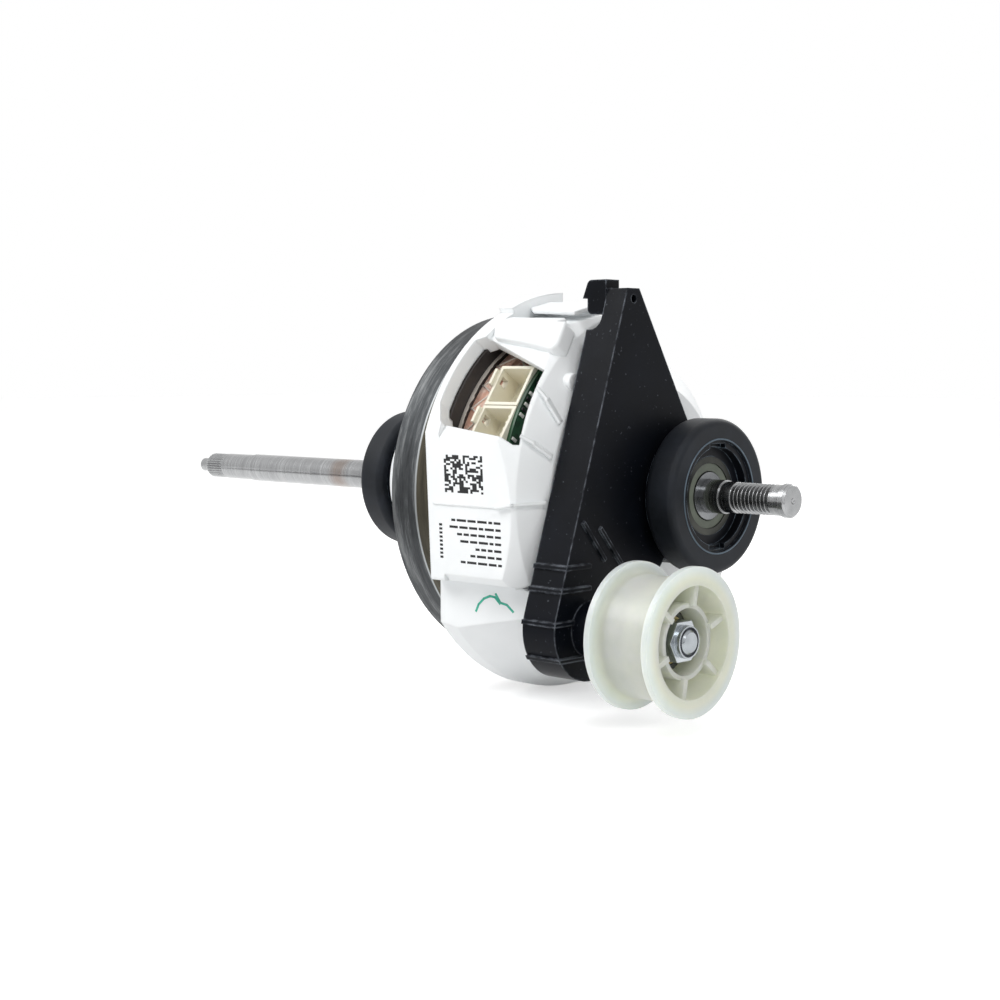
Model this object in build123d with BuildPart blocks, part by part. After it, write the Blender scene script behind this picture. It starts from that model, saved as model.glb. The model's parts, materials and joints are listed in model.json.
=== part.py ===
"""Dryer motor with a swinging belt tensioner, in millimetres.

X runs along the shaft, towards the grooved belt end. Z is up as the motor hangs in its
cradle. The origin lies on the shaft's axis, at the middle of the front rubber ring.
"""
from build123d import *
from math import acos, asin, atan2, cos, degrees, hypot, pi, radians, sin, sqrt
import os

os.makedirs("parts", exist_ok=True)

# Clearances
seat_gap = 0.02  # a part pressed or glued on its seat
run_gap = 0.08  # a journal turning in its bore
race_gap = 0.05  # a ball in its race
slot_gap = 0.3  # a loose piece in its pocket
swing_gap = 0.6  # behind the swinging arm

# Shaft
shaft_radius = 6.0
fan_tip_x = -294.0
fan_tip_radius = 3.0
fan_tip_length = 7.1
knurl_radius = 5.45
knurl_length = 12.9
knurl_teeth = 30
knurl_depth = 0.55
fan_seat_radius = 5.65
fan_seat_length = 19.3
neck_length = 9.2
belt_collar_radius = 5.5
belt_collar_length = 4.9
rib_pitch = 1.6
groove_count = 10
groove_depth = 1.25
groove_land = 0.12
groove_top_radius = 5.4
belt_tail_length = 4.0
end_collar_radius = 5.9
end_collar_length = 2.9
end_chamfer = 0.8
centre_mark_radius = 1.2

# Rubber rings and the carriers that hold the bearings in them
ring_radius = 27.5
ring_bore_radius = 19.8
ring_width = 12.0
ring_round = 2.3
ring_lip = 0.6
ring_spacing = 148.0  # between the middles of the two rings
carrier_face_inset = 1.0
carrier_mouth_radius = 17.5
flange_radius = 23.0
flange_thickness = 3.0
spigot_length = 10.0
journal_radius = 21.0
journal_wall = 3.9
pocket_lip_radius = 12.6
notch_width = 9.0
notch_depth = 2.2
bearing_inset = 4.5  # ring face to bearing face

# Shaft bearings
bearing_radius = 14.0
bearing_width = 8.0
bearing_inner_land = 8.5
bearing_outer_land = 11.7
bearing_ball_radius = 2.38
bearing_ball_count = 8

# Stator and rotor
core_radius = 65.7
core_length = 23.0
core_rear_x = -93.0
core_bore_radius = 36.0
slot_count = 12
slot_width = 9.0
slot_inner_radius = 38.5
slot_outer_radius = 54.0
slot_mouth = 3.0
air_gap = 0.7
magnet_count = 8
magnet_width = 18.0
magnet_thickness = 4.0
magnet_ring_radius = 29.5
end_plate_thickness = 1.6
winding_inner_radius = 42.0
winding_front_radius = 58.6
winding_front_height = 7.6
winding_rear_radius = 49.5
winding_rear_height = 7.8
winding_round = 3.0
winding_bar_radius = 2.6
strand_radius = 0.55
strand_pitch = 1.55
strand_turns = 4
strand_gap = 0.1  # between the outer strands and the bundle under them
insulation_floor = 1.2
insulation_wall = 1.5
insulation_front_height = 2.2
insulation_rear_height = 9.0

# Shields
register_depth = 3.0
register_wall = 1.0
facet_count = 9
facet_turn = -3.0  # degrees above the level of the shaft, on the near side
rim_radius = 71.6
rim_end = 88.0
ear_radius = 73.5
ear_start = 66.0
rim_thickness = 7.0
shield_wall = 2.6
drum_length = 12.0
drum_draft = 2.0
dome_cone_length = 24.0
dome_knee_radius = 50.5
dome_flat_radius = 40.0
box_start = -27.0  # degrees above the level of the shaft, on the near side
box_end = 73.0
box_crown_length = 12.6  # the box's front is turned down in two cones
box_knee_length = 5.6
box_knee_radius = 65.5
box_front_radius = 54.0
dome_rib_height = 1.0
dome_rib_width = 1.6
dome_rib_count = 12
dome_rib_turn = 5.0
skirt_radius = 76.0
skirt_side = 60.5  # the near side is cut off flat below the box, and leans in to the front
skirt_front_side = 53.0
skirt_front_radius = 67.5
skirt_length = 38.0
skirt_start = 27.0  # degrees below the level of the shaft
skirt_sweep = 126.0
rear_flange_radius = 65.4
rear_flange_thickness = 3.0
rear_shoulder_radius = 54.5
rear_shoulder_length = 10.0
rear_waist_radius = 38.0
rear_dome_radius = 28.0
rear_hub_length = 4.0

# Screws that clamp the shields on the core, none of them on the near side, where the plugs are
screw_angles = (84.0, 146.0, 214.0, 276.0)
screw_ring_radius = 62.0
screw_radius = 1.5
screw_head_radius = 2.6
screw_head_height = 1.8
screw_boss_radius = 2.7
screw_lug_radius = 3.4
screw_grip = 6.0
screw_sink = 1.8

# Window, board and connectors
window_facet_turn = 37.0
window_outline = (  # ahead of the core's front face, and across the facet
    (4.5, 19.0),
    (37.5, 5.6),
    (38.3, -22.9),
    (36.6, -23.7),
    (33.7, -23.0),
    (3.2, -18.8),
    (0.1, -11.5),
    (0.1, 16.6),
)
board_lead = 28.0  # ahead of the core's front face
board_thickness = 1.6
board_inner_radius = 27.0
board_outer_radius = 60.5
board_start = -20.0
board_end = 66.0
board_posts = ((-12.0, 50.0), (58.0, 50.0), (5.0, 34.0), (42.0, 34.0))
post_radius = 3.5
board_screw_radius = 1.4
board_screw_grip = 5.0
board_screw_head_radius = 2.7
board_screw_head_height = 1.8
header_turn = 34.5  # degrees above the level of the shaft, on the near side
header_depth = 16.0
header_height = 13.0
header_wall = 1.2
header_floor = 3.0
header_overhang = 0.4
header_seam = 0.4
header_split = -2.8  # the seam between the two headers, across their common plane
header_widths = (15.0, 16.5)
latch_shift = 3.0
latch_width = 6.5
latch_height = 9.0
latch_stand = 1.4
latch_window = 3.2
pin_size = 0.9
pin_pitch = 2.5
pin_reach = 6.5
pin_inset = 3.5  # from the board

# Tensioner arm and idler
arm_thickness = 14.5
arm_end_play = 0.3
arm_wall = 2.8
arm_skin = 3.0
arm_hub_radius = 25.0
hub_leave_high = 85.0
hub_leave_low = -118.0
lobe_meet = -52.0
arm_web_heights = (36.0, 4.0, -18.0)
arm_ridges = (((-56.0, -6.5), (-44.5, -20.2)), ((-47.2, -9.0), (-36.0, -21.9)))
lobe_radius = 18.0
idler_y = -52.0
idler_z = -43.0
apex_z = 72.6
apex_left_y = -33.0
apex_right_y = -26.6
arm_top_thickness = 8.8
arm_step_z = 58.5
arm_step_round = 4.0
arm_hole_radius = 1.4
arm_hole_y = -29.5
arm_hole_z = 69.0
flank_rib_heights = (-21.5, -29.0, -40.0, -52.5)
flank_rib_width = 1.5
flank_rib_proud = 0.8
hook_reach = 10.6
hook_top_reach = 8.0
hook_undercut = 2.2
hook_top_z = 75.8
hook_y = -30.5
hook_head_height = 6.4
hook_post_height = 5.6
hook_width = 7.0
arm_boss_radius = 9.5
arm_boss_end_gap = 1.6
bolt_radius = 4.0
bolt_head_flats = 13.0
bolt_head_height = 5.3
nut_flats = 13.0
nut_height = 6.0
nut_collar_radius = 5.4
nut_collar_height = 2.0
nut_insert_radius = 4.9
bolt_stick_out = 0.7
washer_radius = 8.0
washer_thickness = 1.6
idler_width = 25.8
idler_flange_radius = 24.7
idler_barrel_radius = 20.5
idler_flange_thickness = 2.2
idler_flange_round = 3.0
idler_rim_wall = 2.0
idler_hub_wall = 1.5
idler_hub_inset = 3.0
idler_web_thickness = 2.0
idler_spoke_count = 6
idler_spoke_turn = 20.0
idler_spoke_width = 1.8
idler_spoke_inset = 1.5
idler_bearing_radius = 11.0
idler_bearing_width = 7.0
idler_bearing_inner_land = 6.05
idler_bearing_outer_land = 9.2
idler_ball_radius = 1.98
idler_ball_count = 7
idler_nut_inset = 2.0

# Places that follow from the sizes above
front_ring_x = 0.0
rear_ring_x = front_ring_x - ring_spacing
ring_face = ring_width / 2
front_flange_back = front_ring_x - ring_face - flange_thickness
arm_front_x = front_flange_back - arm_end_play
arm_back_x = arm_front_x - arm_thickness
dome_face_x = arm_back_x - swing_gap - dome_rib_height
core_front_x = core_rear_x + core_length
rim_x = core_front_x - register_depth
rim_front_x = rim_x + rim_thickness
shield_seat_x = core_front_x + insulation_floor
shoulder_x = core_front_x + drum_length
dome_knee_x = shoulder_x + dome_cone_length
board_x = core_front_x + board_lead
board_back_x = board_x - board_thickness
facet_distance = core_radius + register_wall
facet_corner = facet_distance / cos(radians(180 / facet_count))
shield_bore = facet_distance - shield_wall
rear_flange_front = rear_ring_x + ring_face + flange_thickness
rear_dome_x = rear_flange_front + rear_hub_length
rear_shoulder_x = core_rear_x - rear_shoulder_length
rear_waist_x = (rear_shoulder_x + rear_dome_x) / 2
groove_start_x = neck_length + belt_collar_length
groove_end_x = groove_start_x + groove_count * rib_pitch
shaft_end_x = groove_end_x + belt_tail_length + end_collar_length
idler_mid_x = (groove_start_x + groove_end_x) / 2
idler_front_x = idler_mid_x + idler_width / 2
idler_rear_x = idler_mid_x - idler_width / 2
rotor_radius = core_bore_radius - air_gap
spigot_radius = journal_radius - journal_wall
ring_bead = ring_bore_radius - seat_gap
rear_bore = rear_shoulder_radius - shield_wall

# The YZ plane looks back along the shaft from the belt end: its x is Y and its y is Z
shaft_plane = Plane.XZ
idler_plane = Plane(origin=(0, idler_y, idler_z), x_dir=(1, 0, 0), z_dir=(0, -1, 0))
idler_axis = Axis((0, idler_y, idler_z), (1, 0, 0))


def keep(piece, name):
    """Label a finished piece and write its file."""
    piece.part.label = name
    export_step(piece.part, f"parts/{name}.step")


def across(x, y=0.0, z=0.0):
    """A plane square to the shaft at x, centred on the line through y and z."""
    return Plane(origin=(x, y, z), x_dir=(0, 1, 0), z_dir=(1, 0, 0))


def near_side(angle, radius):
    """The YZ point at an angle above the level near side of the shaft."""
    return (-radius * cos(radians(angle)), radius * sin(radians(angle)))


def facet_plane(angle, distance):
    """A plane facing outwards at an angle on the near side, with x along the shaft."""
    y, z = near_side(angle, distance)
    outwards = (0, -cos(radians(angle)), sin(radians(angle)))
    return Plane(origin=(0, y, z), x_dir=(1, 0, 0), z_dir=outwards)


def radial_plane(angle):
    """A plane through the shaft's axis, with y pointing outwards at a near-side angle."""
    outwards = radians(angle)
    return Plane(origin=(0, 0, 0), x_dir=(1, 0, 0), z_dir=(0, -sin(outwards), -cos(outwards)))


def screw_places():
    """The middles of the clamp screws, seen along the shaft."""
    return Locations(*(near_side(angle, screw_ring_radius) for angle in screw_angles))


def sector(start, end, radius):
    """The corners of a pie slice on the near side, wide enough to hold the radius."""
    reach = radius / cos(radians(end - start) / 4)
    return [(0, 0)] + [near_side(angle, reach) for angle in (start, (start + end) / 2, end)]


def ball_bearing(name, x, bore, radius, width, lands, ball, plane, axis):
    """One shielded ball bearing: two rings, the balls and the pair of shields."""
    inner_land, outer_land = lands
    pitch = (inner_land + outer_land) / 2
    y, z = axis.position.Y, axis.position.Z
    ball_radius, ball_count = ball
    with BuildPart() as inner_ring:
        with BuildSketch(across(x - width / 2, y, z)):
            Circle(inner_land)
            Circle(bore + seat_gap, mode=Mode.SUBTRACT)
        extrude(amount=width)
        with BuildSketch(plane):
            with Locations((x, pitch)):
                Circle(ball_radius + seat_gap)
        revolve(axis=axis, mode=Mode.SUBTRACT)
    keep(inner_ring, f"{name}_inner_ring")
    with BuildPart() as outer_ring:
        with BuildSketch(across(x - width / 2, y, z)):
            Circle(radius)
            Circle(outer_land, mode=Mode.SUBTRACT)
        extrude(amount=width)
        with BuildSketch(plane):
            with Locations((x, pitch)):
                Circle(ball_radius + race_gap)
        revolve(axis=axis, mode=Mode.SUBTRACT)
    keep(outer_ring, f"{name}_outer_ring")
    with BuildPart() as balls:
        with Locations(across(x, y, z)):
            with PolarLocations(pitch, ball_count):
                Sphere(ball_radius)
    keep(balls, f"{name}_balls")
    shield_inset = width / 20
    shield_thickness = width / 16
    with BuildPart() as shields:
        for start in (x - width / 2 + shield_inset, x + width / 2 - shield_inset - shield_thickness):
            with BuildSketch(across(start, y, z)):
                Circle(outer_land - seat_gap)
                Circle(inner_land + slot_gap, mode=Mode.SUBTRACT)
            extrude(amount=shield_thickness)
    keep(shields, f"{name}_shields")


# Shaft: one turned bar, knurled for the fan and grooved for the ribbed belt
knurl_start = fan_tip_x + fan_tip_length
knurl_end = knurl_start + knurl_length
fan_seat_end = knurl_end + fan_seat_length
profile = [
    (fan_tip_x, 0),
    (fan_tip_x, fan_tip_radius - end_chamfer),
    (fan_tip_x + end_chamfer, fan_tip_radius),
    (knurl_start, fan_tip_radius),
    (knurl_start, knurl_radius - 2 * end_chamfer),
    (knurl_start + 2 * end_chamfer, knurl_radius),
    (knurl_end, knurl_radius),
    (knurl_end, fan_seat_radius),
    (fan_seat_end, fan_seat_radius),
    (fan_seat_end, shaft_radius),
    (neck_length, shaft_radius),
    (neck_length, belt_collar_radius),
    (groove_start_x, belt_collar_radius),
]
for groove in range(groove_count):
    start = groove_start_x + groove * rib_pitch
    bottom = groove_top_radius - groove_depth
    profile.append((start + groove_land, groove_top_radius))
    profile.append((start + rib_pitch / 2 - groove_land, bottom))
    profile.append((start + rib_pitch / 2 + groove_land, bottom))
    profile.append((start + rib_pitch - groove_land, groove_top_radius))
tail_end = groove_end_x + belt_tail_length
profile += [
    (groove_end_x, groove_top_radius),
    (tail_end, groove_top_radius),
    (tail_end, end_collar_radius),
    (shaft_end_x - end_chamfer, end_collar_radius),
    (shaft_end_x, end_collar_radius - end_chamfer),
    (shaft_end_x, centre_mark_radius),
    (shaft_end_x - centre_mark_radius, 0),
]
with BuildPart() as shaft:
    with BuildSketch(shaft_plane):
        with BuildLine():
            Polyline(*profile, close=True)
        make_face()
    revolve(axis=Axis.X)
    with BuildSketch(across(knurl_start)):
        with PolarLocations(knurl_radius, knurl_teeth):
            with Locations(Location((0, 0, 0), (0, 0, 45))):
                Rectangle(knurl_depth, knurl_depth)
    extrude(amount=knurl_length, mode=Mode.SUBTRACT)
keep(shaft, "shaft")

# Shaft bearings
rear_bearing_x = rear_ring_x - ring_face + bearing_inset + bearing_width / 2
front_bearing_x = front_ring_x + ring_face - bearing_inset - bearing_width / 2
for name, x in (("front_bearing", front_bearing_x), ("rear_bearing", rear_bearing_x)):
    ball_bearing(
        name,
        x,
        shaft_radius,
        bearing_radius,
        bearing_width,
        (bearing_inner_land, bearing_outer_land),
        (bearing_ball_radius, bearing_ball_count),
        shaft_plane,
        Axis.X,
    )


def bearing_carrier(name, ring_x, way):
    """A moulded cup for one bearing; way is 1 at the belt end and -1 at the fan end."""
    face = ring_x + way * (ring_face - carrier_face_inset)
    bearing_face = ring_x + way * (ring_face - bearing_inset)
    bearing_back = bearing_face - way * bearing_width
    seat_back = ring_x - way * ring_face
    flange_back = seat_back - way * flange_thickness
    spigot_end = flange_back - way * spigot_length
    with BuildPart() as carrier:
        with BuildSketch(shaft_plane):
            with BuildLine():
                Polyline(
                    (face, carrier_mouth_radius),
                    (face, ring_bead),
                    (seat_back, ring_bead),
                    (seat_back, flange_radius),
                    (flange_back, flange_radius),
                    (flange_back, spigot_radius - seat_gap),
                    (spigot_end, spigot_radius - seat_gap),
                    (spigot_end, pocket_lip_radius),
                    (bearing_back, pocket_lip_radius),
                    (bearing_back, bearing_radius + seat_gap),
                    (bearing_face, bearing_radius + seat_gap),
                    (bearing_face, carrier_mouth_radius),
                    close=True,
                )
            make_face()
        revolve(axis=Axis.X)
        notch_radius = (carrier_mouth_radius + ring_bead) / 2
        with BuildSketch(across(face)):
            for side in (1, -1):
                with Locations((0, side * carrier_mouth_radius)):
                    Rectangle(notch_width, 2 * (notch_radius - carrier_mouth_radius))
        extrude(amount=-way * notch_depth, mode=Mode.SUBTRACT)
    keep(carrier, name)


bearing_carrier("front_bearing_carrier", front_ring_x, 1)
bearing_carrier("rear_bearing_carrier", rear_ring_x, -1)

# Rubber rings
for name, x in (("front_rubber_ring", front_ring_x), ("rear_rubber_ring", rear_ring_x)):
    with BuildPart() as rubber_ring:
        with BuildSketch(shaft_plane) as ring_section:
            with Locations((x, (ring_radius + ring_bore_radius) / 2)):
                Rectangle(ring_width, ring_radius - ring_bore_radius)
            corners = ring_section.vertices().group_by(Axis.Y)
            fillet(corners[-1], radius=ring_round)
            chamfer(corners[0], length=ring_lip)
        revolve(axis=Axis.X)
    keep(rubber_ring, name)

# Stator core: laminations with slots, screw holes and a bore for the rotor
with BuildPart() as stator_core:
    with BuildSketch(across(core_rear_x)):
        Circle(core_radius)
        Circle(core_bore_radius, mode=Mode.SUBTRACT)
        slot_depth = slot_outer_radius - slot_inner_radius
        with PolarLocations((slot_outer_radius + slot_inner_radius) / 2, slot_count):
            Rectangle(slot_depth, slot_width, mode=Mode.SUBTRACT)
        mouth_depth = slot_inner_radius - core_bore_radius + 2 * slot_gap
        with PolarLocations(core_bore_radius + mouth_depth / 2 - slot_gap, slot_count):
            Rectangle(mouth_depth, slot_mouth, mode=Mode.SUBTRACT)
        with screw_places():
            Circle(screw_radius + slot_gap, mode=Mode.SUBTRACT)
    extrude(amount=core_length)
keep(stator_core, "stator_core")

# Rotor: a laminated core with buried magnets between two end plates
with BuildPart() as rotor_core:
    with BuildSketch(across(core_rear_x)):
        Circle(rotor_radius)
        Circle(shaft_radius + seat_gap, mode=Mode.SUBTRACT)
        with PolarLocations(magnet_ring_radius, magnet_count):
            Rectangle(
                magnet_thickness + 2 * seat_gap,
                magnet_width + 2 * seat_gap,
                mode=Mode.SUBTRACT,
            )
    extrude(amount=core_length)
keep(rotor_core, "rotor_core")

with BuildPart() as rotor_magnets:
    with BuildSketch(across(core_rear_x)):
        with PolarLocations(magnet_ring_radius, magnet_count):
            Rectangle(magnet_thickness, magnet_width)
    extrude(amount=core_length)
keep(rotor_magnets, "rotor_magnets")

with BuildPart() as rotor_end_plates:
    for start in (core_rear_x - end_plate_thickness, core_front_x):
        with BuildSketch(across(start)):
            Circle(rotor_radius - slot_gap)
            Circle(shaft_radius + seat_gap, mode=Mode.SUBTRACT)
        extrude(amount=end_plate_thickness)
keep(rotor_end_plates, "rotor_end_plates")

# Insulation frames: a floor on each end of the core and a wall round the windings
for name, start, way, floor_radius, wall_radius, height in (
    (
        "front_insulation_frame",
        core_front_x,
        1,
        core_radius,
        winding_front_radius + slot_gap + insulation_wall,
        insulation_front_height,
    ),
    (
        "rear_insulation_frame",
        core_rear_x,
        -1,
        rear_bore - slot_gap,
        rear_bore - slot_gap,
        insulation_rear_height,
    ),
):
    with BuildPart() as insulation_frame:
        with BuildSketch(across(start)):
            Circle(floor_radius)
            Circle(core_bore_radius + air_gap, mode=Mode.SUBTRACT)
            with PolarLocations((slot_outer_radius + slot_inner_radius) / 2, slot_count):
                Rectangle(slot_depth, slot_width, mode=Mode.SUBTRACT)
            with screw_places():
                Circle(screw_radius + slot_gap, mode=Mode.SUBTRACT)
        extrude(amount=way * insulation_floor)
        with BuildSketch(across(start + way * insulation_floor)):
            Circle(wall_radius)
            Circle(wall_radius - insulation_wall, mode=Mode.SUBTRACT)
            with screw_places():
                Circle(screw_boss_radius + slot_gap, mode=Mode.SUBTRACT)
        extrude(amount=way * (height - insulation_floor))
    keep(insulation_frame, name)

# Windings: a bundle over each end of the core, joined through the slots, and round the
# front bundle one long strand, laced over it in turns that show through the window
bundle_start = insulation_floor + seat_gap
bundle_front_radius = winding_front_radius - 2 * strand_radius - strand_gap
strand_ring_radius = winding_front_radius - strand_radius
strand_start_x = core_front_x + bundle_start + strand_radius
strand_dip = 4 * strand_radius


def strand_point(turn):
    """The strand's place and direction after some turns round the winding."""
    angle = 2 * pi * turn
    x = strand_start_x + strand_pitch * turn
    place = Vector(x, strand_ring_radius * cos(angle), strand_ring_radius * sin(angle))
    climb = strand_pitch / (2 * pi)
    way = Vector(climb, -strand_ring_radius * sin(angle), strand_ring_radius * cos(angle))
    return place, way.normalized()


def strand_span(turn, share):
    """Two arcs that carry the strand over a share of a turn and meet smoothly half way."""
    start, start_way = strand_point(turn)
    end, end_way = strand_point(turn + share)
    reach = end - start
    bend = 2 * (1 - start_way.dot(end_way))
    along = reach.dot(start_way + end_way)
    arm = (sqrt(along**2 + bend * reach.dot(reach)) - along) / bend
    middle = (start + end + (start_way - end_way) * arm) / 2
    TangentArc(start, middle, tangent=start_way)
    TangentArc(middle, end, tangent=end_way * -1, tangent_from_first=False)


def strand_tail(turn, way_out):
    """A tight bend and a short straight end that dips into the bundle; way_out is 1 or -1."""
    place, way = strand_point(turn)
    inwards = Vector(0, -place.Y, -place.Z).normalized()
    bend_end = place + (way * way_out + inwards) * 2 * strand_radius
    TangentArc(place, bend_end, tangent=way * way_out)
    Line(bend_end, bend_end + inwards * strand_dip)


with BuildPart() as stator_winding:
    for start, way, radius, height in (
        (core_front_x, 1, bundle_front_radius, winding_front_height),
        (core_rear_x, -1, winding_rear_radius, winding_rear_height),
    ):
        with BuildSketch(across(start + way * bundle_start)):
            Circle(radius)
            Circle(winding_inner_radius, mode=Mode.SUBTRACT)
        extrude(amount=way * height)
    bundle_edges = stator_winding.edges().filter_by(GeomType.CIRCLE)
    fillet(bundle_edges, radius=winding_round)
    with BuildSketch(across(core_rear_x - bundle_start - seat_gap)):
        with PolarLocations((winding_inner_radius + winding_rear_radius) / 2, slot_count):
            Circle(winding_bar_radius)
    extrude(amount=core_length + 2 * (bundle_start + seat_gap))
    with BuildLine() as strand_route:
        strand_tail(0, -1)
        for quarter in range(4 * strand_turns):
            strand_span(quarter / 4, 1 / 4)
        strand_tail(strand_turns, 1)
    strand_path = strand_route.wire()
    with BuildSketch(Plane(origin=strand_path @ 0, z_dir=strand_path % 0)):
        Circle(strand_radius)
    sweep(path=strand_path)
keep(stator_winding, "stator_winding")

samples_per_turn = 720
samples = samples_per_turn * strand_turns
strand_points = [strand_path @ (step / samples) for step in range(samples + 1)]
turn_steps = round(2 * pi * strand_ring_radius * samples / strand_path.length)
turn_slack = 12
next_turn = range(turn_steps - turn_slack, turn_steps + turn_slack)
least_gap = min(
    (strand_points[step] - strand_points[step + ahead]).length - 2 * strand_radius
    for step in range(samples + 1 - next_turn.stop)
    for ahead in next_turn
)
print(f"least gap between the strand's turns: {least_gap:.2f} mm")

# Front shield: a dome with a rim and a skirt, and on the near side a faceted box for the board
inside_face_x = dome_face_x - shield_wall
box_crown_x = dome_face_x - box_crown_length
box_knee_x = dome_face_x - box_knee_length
box_inner_start = box_start + degrees(asin(shield_wall / facet_distance))
box_inner_end = box_end - degrees(asin(shield_wall / facet_distance))
with BuildPart() as front_shield:
    with BuildSketch(shaft_plane):
        with BuildLine():
            Polyline(
                (rim_x, 0),
                (rim_x, facet_distance),
                (shield_seat_x + shield_wall, facet_distance),
                (shoulder_x, facet_distance - drum_draft),
                (dome_knee_x, dome_knee_radius),
                (dome_face_x, dome_flat_radius),
                (dome_face_x, 0),
                close=True,
            )
        make_face()
    revolve(axis=Axis.X)
    with BuildSketch(across(rim_x)) as box_section:
        with Locations(Location((0, 0, 0), (0, 0, 180 - facet_turn + 180 / facet_count))):
            RegularPolygon(facet_distance, facet_count, major_radius=False)
        with BuildLine():
            Polyline(*sector(box_start, box_end, 2 * facet_distance), close=True)
        make_face(mode=Mode.INTERSECT)
    extrude(amount=dome_face_x - rim_x)
    with BuildSketch(shaft_plane):
        with BuildLine():
            Polyline(
                (rim_x, 0),
                (rim_x, facet_corner + slot_gap),
                (box_crown_x, facet_corner + slot_gap),
                (box_knee_x, box_knee_radius),
                (dome_face_x, box_front_radius),
                (dome_face_x, 0),
                close=True,
            )
        make_face()
    revolve(axis=Axis.X, mode=Mode.INTERSECT)
    with BuildSketch(across(rim_x)):
        Circle(rim_radius)
        with BuildLine():
            Polyline(*sector(box_start, rim_end, 2 * rim_radius), close=True)
        make_face(mode=Mode.INTERSECT)
        with Locations(Location((0, 0, 0), (0, 0, 180 - facet_turn))):
            with Locations((facet_distance + rim_radius / 2, 0)):
                Rectangle(rim_radius, 2 * rim_radius, mode=Mode.SUBTRACT)
    extrude(amount=rim_thickness)
    with BuildSketch(across(rim_x)):
        Circle(ear_radius)
        with BuildLine():
            Polyline(*sector(ear_start, rim_end, 2 * rim_radius), close=True)
        make_face(mode=Mode.INTERSECT)
    extrude(amount=rim_thickness)
    with BuildSketch(radial_plane(-skirt_start)):
        with BuildLine():
            Polyline(
                (rim_x, shield_bore),
                (rim_x, skirt_radius),
                (rim_front_x, skirt_radius),
                (rim_x + skirt_length, skirt_front_radius),
                (rim_x + skirt_length, shield_bore - drum_draft),
                close=True,
            )
        make_face()
    revolve(axis=Axis.X, revolution_arc=skirt_sweep)
    skirt_top = near_side(-skirt_start, facet_distance)[1]
    with BuildSketch(Plane.XY.offset(skirt_top)):
        with BuildLine():
            Polyline(
                (rim_x, -skirt_side),
                (rim_x + skirt_length, -skirt_front_side),
                (rim_x + skirt_length, -2 * skirt_radius),
                (rim_x, -2 * skirt_radius),
                close=True,
            )
        make_face()
    extrude(amount=-skirt_radius, mode=Mode.SUBTRACT)
    with BuildSketch(across(dome_face_x)):
        Circle(journal_radius)
    extrude(amount=front_flange_back - dome_face_x)
    rib_inner = journal_radius - dome_rib_width
    rib_outer = dome_flat_radius - dome_rib_width
    with BuildSketch(across(dome_face_x - dome_rib_height)):
        with PolarLocations((rib_outer + rib_inner) / 2, dome_rib_count, start_angle=dome_rib_turn):
            Rectangle(rib_outer - rib_inner, dome_rib_width)
    extrude(amount=2 * dome_rib_height)
    with BuildSketch(shaft_plane):
        with BuildLine():
            Polyline(
                (rim_x, 0),
                (rim_x, core_radius + slot_gap),
                (shield_seat_x, core_radius + slot_gap),
                (shield_seat_x, shield_bore),
                (shoulder_x, shield_bore - drum_draft),
                (dome_knee_x - shield_wall / 2, dome_knee_radius - shield_wall),
                (inside_face_x, dome_flat_radius - shield_wall),
                (inside_face_x, spigot_radius),
                (front_flange_back, spigot_radius),
                (front_flange_back, 0),
                close=True,
            )
        make_face()
    revolve(axis=Axis.X, mode=Mode.SUBTRACT)
    with BuildSketch(radial_plane(box_inner_end)):
        with BuildLine():
            Polyline(
                (shield_seat_x, journal_radius),
                (shield_seat_x, shield_bore),
                (box_knee_x - shield_wall, shield_bore),
                (inside_face_x, box_front_radius),
                (inside_face_x, journal_radius),
                close=True,
            )
        make_face()
    box_inner_sweep = box_inner_end - box_inner_start
    revolve(axis=Axis.X, revolution_arc=box_inner_sweep, mode=Mode.SUBTRACT)
    with BuildSketch(facet_plane(window_facet_turn, facet_distance - 4 * shield_wall)):
        with BuildLine():
            Polyline(*((core_front_x + ahead, side) for ahead, side in window_outline), close=True)
        make_face()
    extrude(amount=6 * shield_wall, mode=Mode.SUBTRACT)
    with BuildSketch(across(shield_seat_x)):
        with screw_places():
            Circle(screw_boss_radius)
    extrude(amount=screw_grip + screw_radius)
    with BuildSketch(across(shield_seat_x)):
        with screw_places():
            Circle(screw_radius + seat_gap)
    extrude(amount=screw_grip + seat_gap, mode=Mode.SUBTRACT)
    with BuildSketch(across(board_x)):
        for angle, circle in board_posts:
            with Locations(near_side(angle, circle)):
                Circle(post_radius)
    extrude(amount=inside_face_x - board_x + shield_wall / 2)
    with BuildSketch(across(board_x)):
        for angle, circle in board_posts:
            with Locations(near_side(angle, circle)):
                Circle(board_screw_radius + seat_gap)
    extrude(amount=board_screw_grip + seat_gap, mode=Mode.SUBTRACT)
keep(front_shield, "front_shield")

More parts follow.
